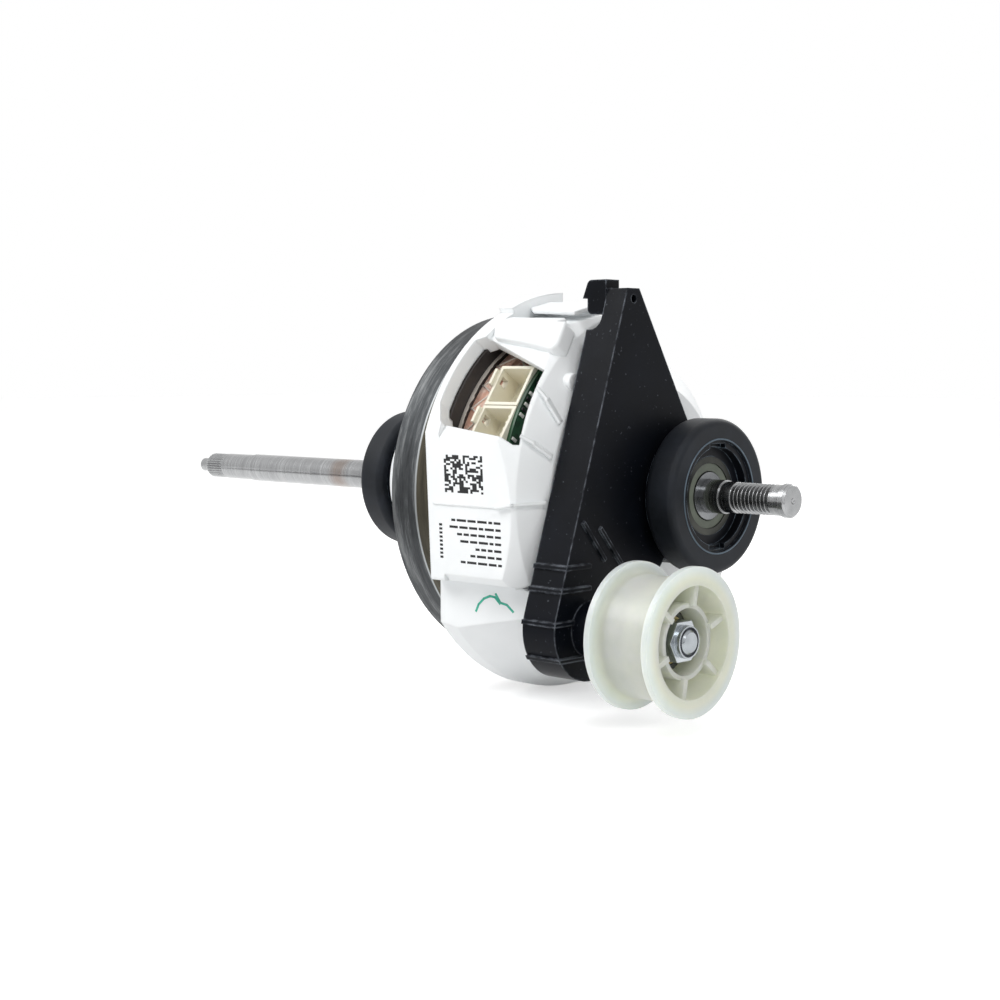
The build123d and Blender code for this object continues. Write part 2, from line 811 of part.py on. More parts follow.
# Rear shield: a bevelled flange with lugs for the sunk screw heads, and a dome behind it
rear_flange_back = core_rear_x - rear_flange_thickness
screw_seat_x = rear_flange_back + screw_sink
with BuildPart() as rear_shield:
    with BuildSketch(shaft_plane):
        with BuildLine():
            Polyline(
                (core_rear_x, rear_bore),
                (core_rear_x, rear_flange_radius),
                (rear_flange_back, rear_flange_radius - rear_flange_thickness),
                (rear_flange_back, rear_shoulder_radius),
                (rear_shoulder_x, rear_shoulder_radius),
                (rear_waist_x, rear_waist_radius),
                (rear_dome_x, rear_dome_radius),
                (rear_dome_x, journal_radius),
                (rear_flange_front, journal_radius),
                (rear_flange_front, spigot_radius),
                (rear_dome_x + shield_wall, spigot_radius),
                (rear_dome_x + shield_wall, rear_dome_radius - shield_wall),
                (rear_waist_x, rear_waist_radius - shield_wall),
                (rear_shoulder_x, rear_bore),
                close=True,
            )
        make_face()
    revolve(axis=Axis.X)
    with BuildSketch(across(core_rear_x)):
        with screw_places():
            Circle(screw_lug_radius)
    extrude(amount=-rear_flange_thickness)
    with BuildSketch(across(screw_seat_x)):
        with screw_places():
            Circle(screw_head_radius + slot_gap)
    extrude(amount=-screw_sink, mode=Mode.SUBTRACT)
    with BuildSketch(across(core_rear_x)):
        with screw_places():
            Circle(screw_radius + slot_gap)
    extrude(amount=-rear_flange_thickness, mode=Mode.SUBTRACT)
keep(rear_shield, "rear_shield")

# Screws that clamp both shields on the core, threaded into the front shield's bosses
with BuildPart() as clamp_screws:
    with BuildSketch(across(screw_seat_x)):
        with screw_places():
            Circle(screw_radius)
    extrude(amount=shield_seat_x - screw_seat_x + screw_grip)
    with BuildSketch(across(screw_seat_x)):
        with screw_places():
            Circle(screw_head_radius)
    extrude(amount=-screw_head_height)
keep(clamp_screws, "clamp_screws")

# Circuit board on four posts, held by small screws
with BuildPart() as circuit_board:
    with BuildSketch(across(board_x)):
        Circle(board_outer_radius)
        Circle(board_inner_radius, mode=Mode.SUBTRACT)
        with BuildLine():
            Polyline(*sector(board_start, board_end, 2 * board_outer_radius), close=True)
        make_face(mode=Mode.INTERSECT)
        for angle, circle in board_posts:
            with Locations(near_side(angle, circle)):
                Circle(board_screw_radius + seat_gap, mode=Mode.SUBTRACT)
    extrude(amount=-board_thickness)
keep(circuit_board, "circuit_board")

with BuildPart() as board_screws:
    for angle, circle in board_posts:
        with BuildSketch(across(board_back_x)):
            with Locations(near_side(angle, circle)):
                Circle(board_screw_head_radius)
        extrude(amount=-board_screw_head_height)
        with BuildSketch(across(board_back_x)):
            with Locations(near_side(angle, circle)):
                Circle(board_screw_radius)
        extrude(amount=board_thickness + board_screw_grip)
keep(board_screws, "board_screws")


# Two open-topped headers side by side on the board's hidden side, facing out through the window
header_top = board_outer_radius + header_overhang
header_bottom = header_top - header_height
header_mid_x = board_back_x - header_depth / 2
latch_x = board_back_x - header_depth - header_wall / 2
lower_width, upper_width = header_widths
header_places = (
    (header_split - (header_seam + lower_width) / 2, lower_width),
    (header_split + (header_seam + upper_width) / 2, upper_width),
)
for number, (place, width) in enumerate(header_places, start=1):
    latch_place = place + latch_shift
    latch_top = header_top + latch_stand
    with BuildPart() as header:
        with BuildSketch(facet_plane(header_turn, header_bottom)):
            with Locations((header_mid_x, place)):
                Rectangle(header_depth, width)
        extrude(amount=header_height)
        with BuildSketch(facet_plane(header_turn, header_bottom + header_floor)):
            with Locations((header_mid_x, place)):
                Rectangle(header_depth - 2 * header_wall, width - 2 * header_wall)
        extrude(amount=header_height, mode=Mode.SUBTRACT)
        with BuildSketch(facet_plane(header_turn, latch_top - latch_height)):
            with Locations((latch_x, latch_place)):
                Rectangle(header_wall, latch_width)
        extrude(amount=latch_height)
        with BuildSketch(facet_plane(header_turn, latch_top - (latch_height + latch_window) / 2)):
            with Locations((latch_x + header_wall / 2, latch_place)):
                Rectangle(4 * header_wall, latch_window)
        extrude(amount=latch_window, mode=Mode.SUBTRACT)
    keep(header, f"connector_{number}")

with BuildPart() as connector_pins:
    for place, width in header_places:
        pins = int((width - 2 * header_wall) // pin_pitch)
        with BuildSketch(facet_plane(header_turn, header_bottom + header_floor)):
            with Locations((board_back_x - pin_inset, place)):
                with GridLocations(pin_pitch, pin_pitch, 1, pins):
                    Rectangle(pin_size, pin_size)
        extrude(amount=pin_reach)
keep(connector_pins, "connector_pins")


# Tensioner arm: a hollow plate that swings on the front shield's journal
arm_top_x = arm_front_x - arm_top_thickness
arm_boss_end_x = idler_rear_x - arm_boss_end_gap
apex_reach = hypot(apex_left_y - idler_y, apex_z - idler_z)
apex_turn = degrees(atan2(apex_z - idler_z, apex_left_y - idler_y))
lobe_left_turn = apex_turn + degrees(acos(lobe_radius / apex_reach))


def polar(angle, radius, y=0.0, z=0.0):
    """The YZ point at an angle from the far side, upwards, about the line through y and z."""
    return (y + radius * cos(radians(angle)), z + radius * sin(radians(angle)))


def arm_shape(grow=0.0):
    """The arm's outline seen from the belt end, grown or shrunk all round."""
    with BuildSketch() as shape:
        with BuildLine():
            Polyline(
                (apex_left_y, apex_z),
                (apex_right_y, apex_z),
                polar(hub_leave_high, arm_hub_radius),
                polar(hub_leave_low, arm_hub_radius),
                polar(lobe_meet, lobe_radius, idler_y, idler_z),
                polar(lobe_left_turn, lobe_radius, idler_y, idler_z),
                close=True,
            )
        make_face()
        Circle(arm_hub_radius)
        with Locations((idler_y, idler_z)):
            Circle(lobe_radius)
        if grow:
            offset(amount=grow, mode=Mode.REPLACE)
    return shape.sketch


with BuildPart() as tensioner_arm:
    with BuildSketch(across(arm_back_x)):
        add(arm_shape())
    extrude(amount=arm_thickness)
    with BuildSketch(across(arm_back_x)):
        for height in flank_rib_heights:
            with Locations((idler_y - lobe_radius, height)):
                Rectangle(2 * lobe_radius, flank_rib_width)
        add(arm_shape(flank_rib_proud), mode=Mode.INTERSECT)
    extrude(amount=arm_thickness + flank_rib_proud)
    with BuildSketch(across(arm_front_x)):
        for start, end in arm_ridges:
            with BuildLine():
                Line(start, end)
            trace(line_width=flank_rib_width)
    extrude(amount=flank_rib_proud)
    with BuildSketch(Plane.XZ.offset(-apex_left_y - arm_hub_radius)) as top_step:
        with Locations((arm_top_x, arm_step_z)):
            Rectangle(arm_thickness, arm_hub_radius, align=(Align.MAX, Align.MIN))
        inner_corner = top_step.vertices().group_by(Axis.X)[-1].sort_by(Axis.Y)[0]
        fillet(inner_corner, radius=arm_step_round)
    extrude(amount=2 * arm_hub_radius, mode=Mode.SUBTRACT)
    with BuildSketch(across(arm_back_x)):
        add(arm_shape(-arm_wall))
        Circle(arm_hub_radius, mode=Mode.SUBTRACT)
        with Locations((idler_y, idler_z)):
            Circle(arm_boss_radius, mode=Mode.SUBTRACT)
        for height in arm_web_heights:
            with Locations((apex_left_y, height)):
                Rectangle(4 * arm_hub_radius, arm_wall / 2, mode=Mode.SUBTRACT)
    extrude(amount=arm_thickness - arm_skin, mode=Mode.SUBTRACT)
    with BuildSketch(across(arm_back_x)):
        Circle(journal_radius + run_gap)
    extrude(amount=arm_thickness, mode=Mode.SUBTRACT)
    with BuildSketch(across(arm_front_x, idler_y, idler_z)):
        Circle(arm_boss_radius)
    extrude(amount=arm_boss_end_x - arm_front_x)
    with BuildSketch(across(arm_back_x, idler_y, idler_z)):
        Circle(bolt_radius + seat_gap)
    extrude(amount=arm_boss_end_x - arm_back_x, mode=Mode.SUBTRACT)
    with BuildSketch(across(arm_back_x, idler_y, idler_z)):
        RegularPolygon(bolt_head_flats / 2 + slot_gap, 6, major_radius=False)
    extrude(amount=bolt_head_height + slot_gap, mode=Mode.SUBTRACT)
    with BuildSketch(Plane.XZ.offset(-hook_y - hook_width / 2)) as hook_section:
        with BuildLine():
            Polyline(
                (arm_top_x, hook_top_z),
                (arm_top_x - hook_top_reach, hook_top_z),
                (arm_top_x - hook_reach, hook_top_z - hook_head_height),
                (arm_top_x - hook_reach + hook_undercut, hook_top_z - hook_head_height),
                (arm_top_x - hook_reach + hook_undercut, hook_top_z - hook_head_height - hook_post_height),
                (arm_top_x, hook_top_z - hook_head_height - hook_post_height),
                close=True,
            )
        make_face()
        fillet(hook_section.vertices().group_by(Axis.Y)[-1].sort_by(Axis.X)[0], radius=hook_undercut)
        fillet(hook_section.vertices().group_by(Axis.Y)[0].sort_by(Axis.X)[0], radius=hook_undercut)
    extrude(amount=hook_width)
    with BuildSketch(across(arm_front_x)):
        with Locations((arm_hole_y, arm_hole_z)):
            Circle(arm_hole_radius)
    extrude(amount=-arm_skin, mode=Mode.SUBTRACT)
keep(tensioner_arm, "tensioner_arm")

# Idler bolt, spacer, washer and locking nut
nut_end_x = idler_front_x - idler_nut_inset
nut_start_x = nut_end_x - nut_collar_height - nut_height
washer_start_x = nut_start_x - washer_thickness
idler_bearing_x = washer_start_x - idler_bearing_width / 2
idler_bearing_rear = idler_bearing_x - idler_bearing_width / 2
bolt_seat_x = arm_back_x + bolt_head_height + slot_gap
with BuildPart() as idler_bolt:
    with BuildSketch(across(bolt_seat_x, idler_y, idler_z)):
        RegularPolygon(bolt_head_flats / 2, 6, major_radius=False)
    extrude(amount=-bolt_head_height)
    with BuildSketch(across(bolt_seat_x, idler_y, idler_z)):
        Circle(bolt_radius)
    extrude(amount=nut_end_x + bolt_stick_out - bolt_seat_x)
    chamfer(idler_bolt.edges().group_by(Axis.X)[-1], length=bolt_stick_out)
keep(idler_bolt, "idler_bolt")

with BuildPart() as idler_spacer:
    with BuildSketch(across(arm_boss_end_x, idler_y, idler_z)):
        Circle(idler_bearing_inner_land)
        Circle(bolt_radius + seat_gap, mode=Mode.SUBTRACT)
    extrude(amount=idler_bearing_rear - arm_boss_end_x)
keep(idler_spacer, "idler_spacer")

with BuildPart() as idler_washer:
    with BuildSketch(across(washer_start_x, idler_y, idler_z)):
        Circle(washer_radius)
        Circle(bolt_radius + seat_gap, mode=Mode.SUBTRACT)
    extrude(amount=washer_thickness)
keep(idler_washer, "idler_washer")

with BuildPart() as idler_nut:
    with BuildSketch(across(nut_start_x, idler_y, idler_z)):
        RegularPolygon(nut_flats / 2, 6, major_radius=False)
    extrude(amount=nut_height)
    with BuildSketch(across(nut_start_x + nut_height, idler_y, idler_z)):
        Circle(nut_collar_radius)
    extrude(amount=nut_collar_height)
    with BuildSketch(across(nut_start_x, idler_y, idler_z)):
        Circle(bolt_radius + seat_gap)
    extrude(amount=nut_height + nut_collar_height, mode=Mode.SUBTRACT)
    with BuildSketch(across(nut_end_x - nut_collar_height / 2, idler_y, idler_z)):
        Circle(nut_insert_radius)
    extrude(amount=nut_collar_height / 2, mode=Mode.SUBTRACT)
keep(idler_nut, "idler_nut")

with BuildPart() as nut_insert:
    with BuildSketch(across(nut_end_x - nut_collar_height / 2, idler_y, idler_z)):
        Circle(nut_insert_radius - seat_gap)
        Circle(bolt_radius + seat_gap, mode=Mode.SUBTRACT)
    extrude(amount=nut_collar_height / 2)
keep(nut_insert, "nut_insert")

ball_bearing(
    "idler_bearing",
    idler_bearing_x,
    bolt_radius,
    idler_bearing_radius,
    idler_bearing_width,
    (idler_bearing_inner_land, idler_bearing_outer_land),
    (idler_ball_radius, idler_ball_count),
    idler_plane,
    idler_axis,
)

# Idler pulley: a moulded drum with two flanges, a web, a hub and spokes
idler_bore = idler_bearing_radius + seat_gap
idler_opening = idler_barrel_radius - idler_rim_wall
hub_length = idler_width - 2 * idler_hub_inset
with BuildPart() as idler_pulley:
    with BuildSketch(idler_plane) as rim_section:
        with BuildLine():
            Polyline(
                (idler_rear_x, idler_opening),
                (idler_rear_x, idler_flange_radius),
                (idler_rear_x + idler_flange_thickness, idler_flange_radius),
                (idler_rear_x + idler_flange_thickness, idler_barrel_radius),
                (idler_front_x - idler_flange_thickness, idler_barrel_radius),
                (idler_front_x - idler_flange_thickness, idler_flange_radius),
                (idler_front_x, idler_flange_radius),
                (idler_front_x, idler_opening),
                close=True,
            )
        make_face()
        throat = rim_section.vertices().group_by(Axis.Y)[1]
        fillet(throat, radius=idler_flange_round)
    revolve(axis=idler_axis)
    with BuildSketch(across(idler_mid_x - idler_web_thickness / 2, idler_y, idler_z)):
        Circle(idler_opening + idler_rim_wall / 2)
        Circle(idler_bore, mode=Mode.SUBTRACT)
    extrude(amount=idler_web_thickness)
    with BuildSketch(across(idler_rear_x + idler_hub_inset, idler_y, idler_z)):
        Circle(idler_bore + idler_hub_wall)
        Circle(idler_bore, mode=Mode.SUBTRACT)
    extrude(amount=hub_length)
    with BuildSketch(across(idler_rear_x + idler_spoke_inset, idler_y, idler_z)):
        spoke_inner = idler_bore + idler_hub_wall / 2
        spoke_outer = idler_opening + idler_rim_wall / 2
        with PolarLocations((spoke_inner + spoke_outer) / 2, idler_spoke_count, start_angle=idler_spoke_turn):
            Rectangle(spoke_outer - spoke_inner, idler_spoke_width)
    extrude(amount=idler_width - 2 * idler_spoke_inset)
    with BuildSketch(across(idler_bearing_rear - idler_hub_wall, idler_y, idler_z)):
        Circle(idler_bore + idler_hub_wall / 2)
        Circle(idler_bearing_outer_land + slot_gap, mode=Mode.SUBTRACT)
    extrude(amount=idler_hub_wall)
keep(idler_pulley, "idler_pulley")
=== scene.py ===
# %% [markdown]
# # A dryer motor in Blender
# A tumble dryer's motor turns the drum with a fine-ribbed belt and blows air with a fan on
# its long rear shaft. The frame loaded here already holds every part at its real size. This
# lesson gives the parts their surfaces, and makes what moulding and winding leave on them.

# %% Load the frame
import json
import random
from math import cos, pi, radians, sin

import bmesh
import bpy
from mathutils import Matrix, Vector, noise


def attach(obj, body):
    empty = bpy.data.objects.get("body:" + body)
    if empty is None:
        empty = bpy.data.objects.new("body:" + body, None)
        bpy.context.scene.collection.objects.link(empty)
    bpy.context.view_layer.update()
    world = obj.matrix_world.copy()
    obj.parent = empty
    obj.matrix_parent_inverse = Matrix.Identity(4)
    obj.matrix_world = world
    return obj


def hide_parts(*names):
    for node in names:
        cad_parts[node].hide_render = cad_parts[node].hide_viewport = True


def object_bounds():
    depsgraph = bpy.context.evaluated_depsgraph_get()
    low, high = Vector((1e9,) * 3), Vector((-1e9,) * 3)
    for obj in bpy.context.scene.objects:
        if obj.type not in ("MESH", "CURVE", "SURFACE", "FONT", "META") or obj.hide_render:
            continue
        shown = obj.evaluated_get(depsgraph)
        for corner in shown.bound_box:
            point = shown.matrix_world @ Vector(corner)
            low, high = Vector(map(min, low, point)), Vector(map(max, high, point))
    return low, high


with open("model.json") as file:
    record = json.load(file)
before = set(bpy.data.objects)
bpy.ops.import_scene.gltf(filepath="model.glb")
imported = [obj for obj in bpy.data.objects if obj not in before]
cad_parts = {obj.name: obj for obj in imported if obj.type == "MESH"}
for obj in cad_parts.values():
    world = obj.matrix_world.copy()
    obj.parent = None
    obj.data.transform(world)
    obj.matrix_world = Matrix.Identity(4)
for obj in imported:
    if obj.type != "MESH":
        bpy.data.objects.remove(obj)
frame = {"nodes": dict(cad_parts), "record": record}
cad_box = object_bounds()
nodes = frame["nodes"]
MM = 0.001

# %% [markdown]
# ## Three small helpers for materials
# Colours are picked as the sRGB hex values of a colour picker, but shaders work in linear
# light, so one function converts them. A second adds any shader node with its settings and
# its links, and a third starts a material on a Principled shader.

# %% Colour, node and material helpers


def colour(code):
    """Turn an sRGB hex value into the linear colour that a shader expects."""
    channels = [(code >> shift & 255) / 255 for shift in (16, 8, 0)]
    linear = [c / 12.92 if c <= 0.04045 else ((c + 0.055) / 1.055) ** 2.4 for c in channels]
    return (*linear, 1.0)


def add(tree, kind, inputs=None, stops=(), **settings):
    """Add one shader node: settings are its properties, inputs are values or other outputs.

    The stops of a colour ramp are pairs of a position and a hex colour.
    """
    made = tree.nodes.new("ShaderNode" + kind)
    for name, value in settings.items():
        setattr(made, name, value)
    for name, value in (inputs or {}).items():
        if isinstance(value, bpy.types.NodeSocket):
            tree.links.new(value, made.inputs[name])
        else:
            made.inputs[name].default_value = value
    if stops:
        points = made.color_ramp.elements
        while len(points) < len(stops):
            points.new(0.5)
        for point, (position, code) in zip(points, stops):
            point.position = position
            point.color = colour(code)
    return made


def new_material(name, **values):
    """Start a material, and give its Principled shader these values."""
    material = bpy.data.materials.new(name)
    material.use_nodes = True
    shader = material.node_tree.nodes["Principled BSDF"]
    for socket, value in values.items():
        shader.inputs[socket.replace("_", " ")].default_value = value
    return material, material.node_tree, shader


# %% [markdown]
# ## Patterns that many finishes share
# Each pattern has a real size in millimetres. Object coordinates are metres here, so a
# pattern that repeats every `size` millimetres needs a scale of 1000 / size. `stretch`
# squeezes the pattern along one axis, which turns clouds into streaks. An edge is where a
# rounded normal leans off the flat one, so that the cosine between them falls below 1. A Mix
# node of colours takes its factor at socket 0, its colours at 6 and 7, and gives socket 2.

# %% Clouds, and places along the shaft


def cloud(tree, size, stretch=(1, 1, 1), detail=4.0, rough=0.6):
    """Noise whose blots are about so many millimetres wide, from 0 to 1."""
    place = add(tree, "TexCoord").outputs["Object"]
    squeezed = add(tree, "Mapping", {"Vector": place, "Scale": stretch}).outputs["Vector"]
    inputs = {"Vector": squeezed, "Scale": 1 / (size * MM), "Detail": detail, "Roughness": rough}
    return add(tree, "TexNoise", inputs).outputs["Fac"]


def along_shaft(tree):
    """How far along the shaft a point lies, in metres."""
    place = add(tree, "TexCoord").outputs["Object"]
    return add(tree, "SeparateXYZ", {"Vector": place}).outputs["X"]


def off_plane(tree, x, plane):
    """How far x lies from a plane square to the shaft; the plane's place is in millimetres."""
    offset = add(tree, "Math", {0: x, 1: plane * MM}, operation="SUBTRACT").outputs["Value"]
    return add(tree, "Math", {0: offset}, operation="ABSOLUTE").outputs["Value"]


# %% Worn edges, laid colours, uneven gloss and relief
BEVEL_SAMPLES = 6
EDGE_FROM, EDGE_TO = 0.985, 0.935


def edges(tree, width):
    """1 on the edges of a part and 0 on its flats, over a width in millimetres."""
    flat = add(tree, "NewGeometry").outputs["Normal"]
    bent = add(tree, "Bevel", {"Radius": width * MM}, samples=BEVEL_SAMPLES).outputs["Normal"]
    dot = add(tree, "VectorMath", {0: flat, 1: bent}, operation="DOT_PRODUCT").outputs["Value"]
    inputs = {"Value": dot, "From Min": EDGE_TO, "From Max": EDGE_FROM, "To Min": 1.0, "To Max": 0.0}
    return add(tree, "MapRange", inputs).outputs["Result"]


def laid_over(tree, under, over, amount, where=(0.0, 1.0), cover=(0.0, 1.0)):
    """Lay a colour over another by an amount; cover is its share at each end of where."""
    ends = {"From Min": where[0], "From Max": where[1], "To Min": cover[0], "To Max": cover[1]}
    share = add(tree, "MapRange", {"Value": amount, **ends}).outputs["Result"]
    return add(tree, "Mix", {0: share, 6: under, 7: over}, data_type="RGBA").outputs[2]


def uneven_gloss(tree, shader, amount, low, high):
    """Let a surface's roughness wander from low to high with an amount from 0 to 1."""
    wandering = add(tree, "MapRange", {"Value": amount, "To Min": low, "To Max": high})
    tree.links.new(wandering.outputs["Result"], shader.inputs["Roughness"])


def relief(tree, shader, height, depth, round_off):
    """Round every edge to a radius, and bump the surface by a height that stands for a depth."""
    bent = add(tree, "Bevel", {"Radius": round_off * MM}, samples=BEVEL_SAMPLES).outputs["Normal"]
    inputs = {"Height": height, "Distance": depth * MM, "Strength": 1.0, "Normal": bent}
    tree.links.new(add(tree, "Bump", inputs).outputs["Normal"], shader.inputs["Normal"])


# %% [markdown]
# ## Camera
# The photograph was taken from a little above the shaft, on the belt end's side. The camera
# stands where a pinhole camera has to stand for the picture's outlines to fall on the part.
# The lens is long, so the two bearings look almost the same size.

# %% Camera
CAMERA_PLACE = (370.9, -493.9, 45.0)
CAMERA_RIGHT = Vector((0.7229, 0.6910, 0.0))
CAMERA_UP = Vector((-0.0523, 0.0547, 0.9971))
SENSOR = 36.0
LENS = 62.31


def frame_at(place, along, up, out):
    """A matrix that carries x, y and z to three directions, and the origin to a place."""
    return Matrix.Translation(place) @ Matrix((along, up, out)).transposed().to_4x4()


camera_data = bpy.data.cameras.new("camera")
camera_data.sensor_width = SENSOR
camera_data.lens = LENS
camera = bpy.data.objects.new("camera", camera_data)
bpy.context.scene.collection.objects.link(camera)
backwards = CAMERA_RIGHT.cross(CAMERA_UP).normalized()
camera.matrix_world = frame_at(Vector(CAMERA_PLACE) * MM, CAMERA_RIGHT, CAMERA_UP, backwards)
bpy.context.scene.camera = camera
print("camera at", [round(v, 3) for v in camera.location])

# %% [markdown]
# ## Studio
# A white sweep would show a horizon, so the floor glows just enough for the camera to see
# both the floor and the world as the same white, while the part still throws its shadow.
# Three soft lamps model the shapes. Steel only looks like steel when it mirrors something
# dark, so two black flags stand by the part, and only reflections can see them.

# %% Floor and flags
FLOOR_GAP = 0.2
FLOOR_SIDE = 12000
FLOOR_GLOW = 0.5
WHITE = (1.0, 1.0, 1.0, 1.0)
FLAGS = (
    ("low flag", (-60, -260, -55), (900, 260), (0, 0, 1)),
    ("side flag", (520, 60, -80), (220, 120), (-1, 0, 0)),
)


def stage_sheet(name, place, size, faces, finish):
    """A flat sheet on the set, a given number of millimetres wide and deep."""
    sheet_mesh = bpy.data.meshes.new(name)
    form = bmesh.new()
    bmesh.ops.create_grid(form, x_segments=1, y_segments=1, size=0.5)
    bmesh.ops.scale(form, verts=form.verts, vec=(size[0] * MM, size[1] * MM, 1))
    turn = Vector(faces).to_track_quat("Z", "Y").to_matrix()
    bmesh.ops.rotate(form, verts=form.verts, cent=(0, 0, 0), matrix=turn)
    bmesh.ops.translate(form, verts=form.verts, vec=Vector(place) * MM)
    form.to_mesh(sheet_mesh)
    form.free()
    sheet_mesh.materials.append(finish)
    sheet = bpy.data.objects.new(name, sheet_mesh)
    bpy.context.scene.collection.objects.link(sheet)
    return sheet


def seen_by_eye(tree):
    """1 for rays that the camera, a mirror or clear glass looks along, and 0 for the rest."""
    rays = add(tree, "LightPath").outputs
    direct = {0: rays["Is Camera Ray"], 1: rays["Is Glossy Ray"]}
    eye = add(tree, "Math", direct, operation="MAXIMUM").outputs["Value"]
    through = {0: eye, 1: rays["Is Transmission Ray"]}
    return add(tree, "Math", through, operation="MAXIMUM").outputs["Value"]


floor_finish, floor_tree, floor_shader = new_material(
    "studio floor", Base_Color=colour(0xF4F4F4), Roughness=0.9, Emission_Color=WHITE
)
glow = add(floor_tree, "MapRange", {"Value": seen_by_eye(floor_tree), "To Max": FLOOR_GLOW})
floor_tree.links.new(glow.outputs["Result"], floor_shader.inputs["Emission Strength"])
floor_place = (0, 0, cad_box[0][2] / MM - FLOOR_GAP)
stage_sheet("floor", floor_place, (FLOOR_SIDE, FLOOR_SIDE), (0, 0, 1), floor_finish)
black_card = new_material("black card", Base_Color=colour(0x040404), Roughness=1.0)[0]
for name, place, size, faces in FLAGS:
    flag = stage_sheet(name, place, size, faces, black_card)
    flag.visible_camera = False
    flag.visible_diffuse = False
    flag.visible_transmission = False
    flag.visible_shadow = False
print("floor at", round(floor_place[2], 1), "mm, and", len(FLAGS), "flags")

# %% World and lamps
AMBIENT = 0.5
AIM = Vector((-50, 0, 0)) * MM
LAMPS = (
    ("key", (-500, -700, 800), 700, 7.5),
    ("strip", (700, -500, 700), 250, 2.4),
    ("rear", (-200, 900, 600), 700, 4.0),
)
world = bpy.data.worlds.new("studio")
world.use_nodes = True
bpy.context.scene.world = world
sky = world.node_tree
background = sky.nodes["Background"]
background.inputs["Color"].default_value = WHITE
strength = add(sky, "MapRange", {"Value": seen_by_eye(sky), "To Min": AMBIENT})
sky.links.new(strength.outputs["Result"], background.inputs["Strength"])
for name, place, size, power in LAMPS:
    lamp_data = bpy.data.lights.new(name, "AREA")
    lamp_data.size = size * MM
    lamp_data.energy = power
    lamp = bpy.data.objects.new(name, lamp_data)
    bpy.context.scene.collection.objects.link(lamp)
    lamp.location = Vector(place) * MM
    lamp.rotation_euler = (AIM - lamp.location).to_track_quat("-Z", "Y").to_euler()
bpy.context.scene.view_settings.view_transform = "Standard"
print("lamps:", ", ".join(lamp[0] for lamp in LAMPS))

# %% [markdown]
# ## Plastics
# The arm and the bearing cups are glass-filled nylon, moulded: satin black, faintly mottled,
# with dust, and with edges painted paler, partly as scuffs and partly as painted highlights.
# The shields are white polyester with softly rounded edges. The headers are ivory nylon, and
# the insulation is brown-black. They share one recipe: two close shades in clouds, a paler
# colour where the surface bends, which is painted highlight as well as scuffing, and a grain
# drawn a third of a millimetre wide, coarser than the real one, so that it shows.

# %% Moulded plastics
MOTTLE, SHEEN, HIGHLIGHT_SCUFF_PATCH, DUST_PATCH, SPECK = 22, 9, 5, 30, 1.1
GRAIN, GRAIN_DEPTH = 0.35, 0.012
GLOSS_SWING = 0.08
HIGHLIGHT_SCUFF_BREAKS, FAINTEST_HIGHLIGHT_SCUFF = (0.42, 0.62), 0.1
DUST_EDGES, DUST_SWING = (0.77, 0.80), 0.12


def moulded(name, base, dark, edge_highlight_scuff_and_dust, roughness, round_off=0.35, dust=0.0, mirror=0.5, edge_highlight_width=0.5):
    """A moulded plastic: mottled colour, fine grain, dust if wanted, and paler edges that are painted
    highlight as well as scuffs.
    """
    material, tree, shader = new_material(name, Specular_IOR_Level=mirror)
    mottled = {"Fac": cloud(tree, MOTTLE)}
    tint = add(tree, "ValToRGB", mottled, stops=((0.3, dark), (0.7, base))).outputs["Color"]
    # Edges are laid paler: painted highlight where light would catch them, and scuffs too, broken into
    # patches.
    patches = cloud(tree, HIGHLIGHT_SCUFF_PATCH, detail=6.0)
    ends = {"From Min": HIGHLIGHT_SCUFF_BREAKS[0], "From Max": HIGHLIGHT_SCUFF_BREAKS[1], "To Min": FAINTEST_HIGHLIGHT_SCUFF}
    broken = add(tree, "MapRange", {"Value": patches, **ends}).outputs["Result"]
    edge_highlight_and_scuffs = add(tree, "Math", {0: edges(tree, edge_highlight_width), 1: broken}, operation="MULTIPLY")
    tint = laid_over(tree, tint, colour(edge_highlight_scuff_and_dust), edge_highlight_and_scuffs.outputs["Value"])
    if dust:
        specks = cloud(tree, SPECK, detail=2.0, rough=0.4)
        thick = add(tree, "MapRange", {"Value": cloud(tree, DUST_PATCH), "To Max": DUST_SWING})
        dusty = {0: specks, 1: thick.outputs["Result"]}
        amount = add(tree, "Math", dusty, operation="ADD").outputs["Value"]
        tint = laid_over(tree, tint, colour(edge_highlight_scuff_and_dust), amount, where=DUST_EDGES, cover=(0.0, dust))
    tree.links.new(tint, shader.inputs["Base Color"])
    uneven_gloss(tree, shader, cloud(tree, SHEEN), roughness - GLOSS_SWING, roughness + GLOSS_SWING)
    relief(tree, shader, cloud(tree, GRAIN, detail=2.0), GRAIN_DEPTH, round_off)
    return material


black_plastic = moulded(
    "satin black nylon", 0x0D1017, 0x080A0F, 0x6E737B, 0.42, dust=0.3, mirror=0.08, edge_highlight_width=0.9
)
# The cup's pale blue-grey edges are a painted highlight, the light on the lip round the bore, as well
# as scuffs.
cup_plastic = moulded("black cup nylon", 0x0D1017, 0x080A0F, 0x7C8C99, 0.42, mirror=0.15)
white_plastic = moulded(
    "white polyester", 0xF7F9FA, 0xF2F5F6, 0xF9FAFA, 0.42, round_off=1.2, mirror=0.35
)
dark_insulation = moulded("brown-black insulation", 0x363231, 0x2B2827, 0x4A4544, 0.5)
ivory_plastic = moulded("ivory nylon", 0xEFEBDA, 0xE6E0CC, 0xF4F1E4, 0.4, round_off=0.25)
print("moulded plastics made")

# %% [markdown]
# ## Rubber
# Each mounting ring is black rubber, moulded a little rougher than the plastic and dusted
# with the grey bloom that rubber gets in store. The lip seals of the bearings are rubber
# too, greenish grey under a film of grease.

# %% Rubber
BLOOM, BLOOM_DULLS = 14, 0.15
RUBBER_GRAIN, RUBBER_GRAIN_DEPTH, RUBBER_ROUND_OFF = 0.4, 0.015, 0.4


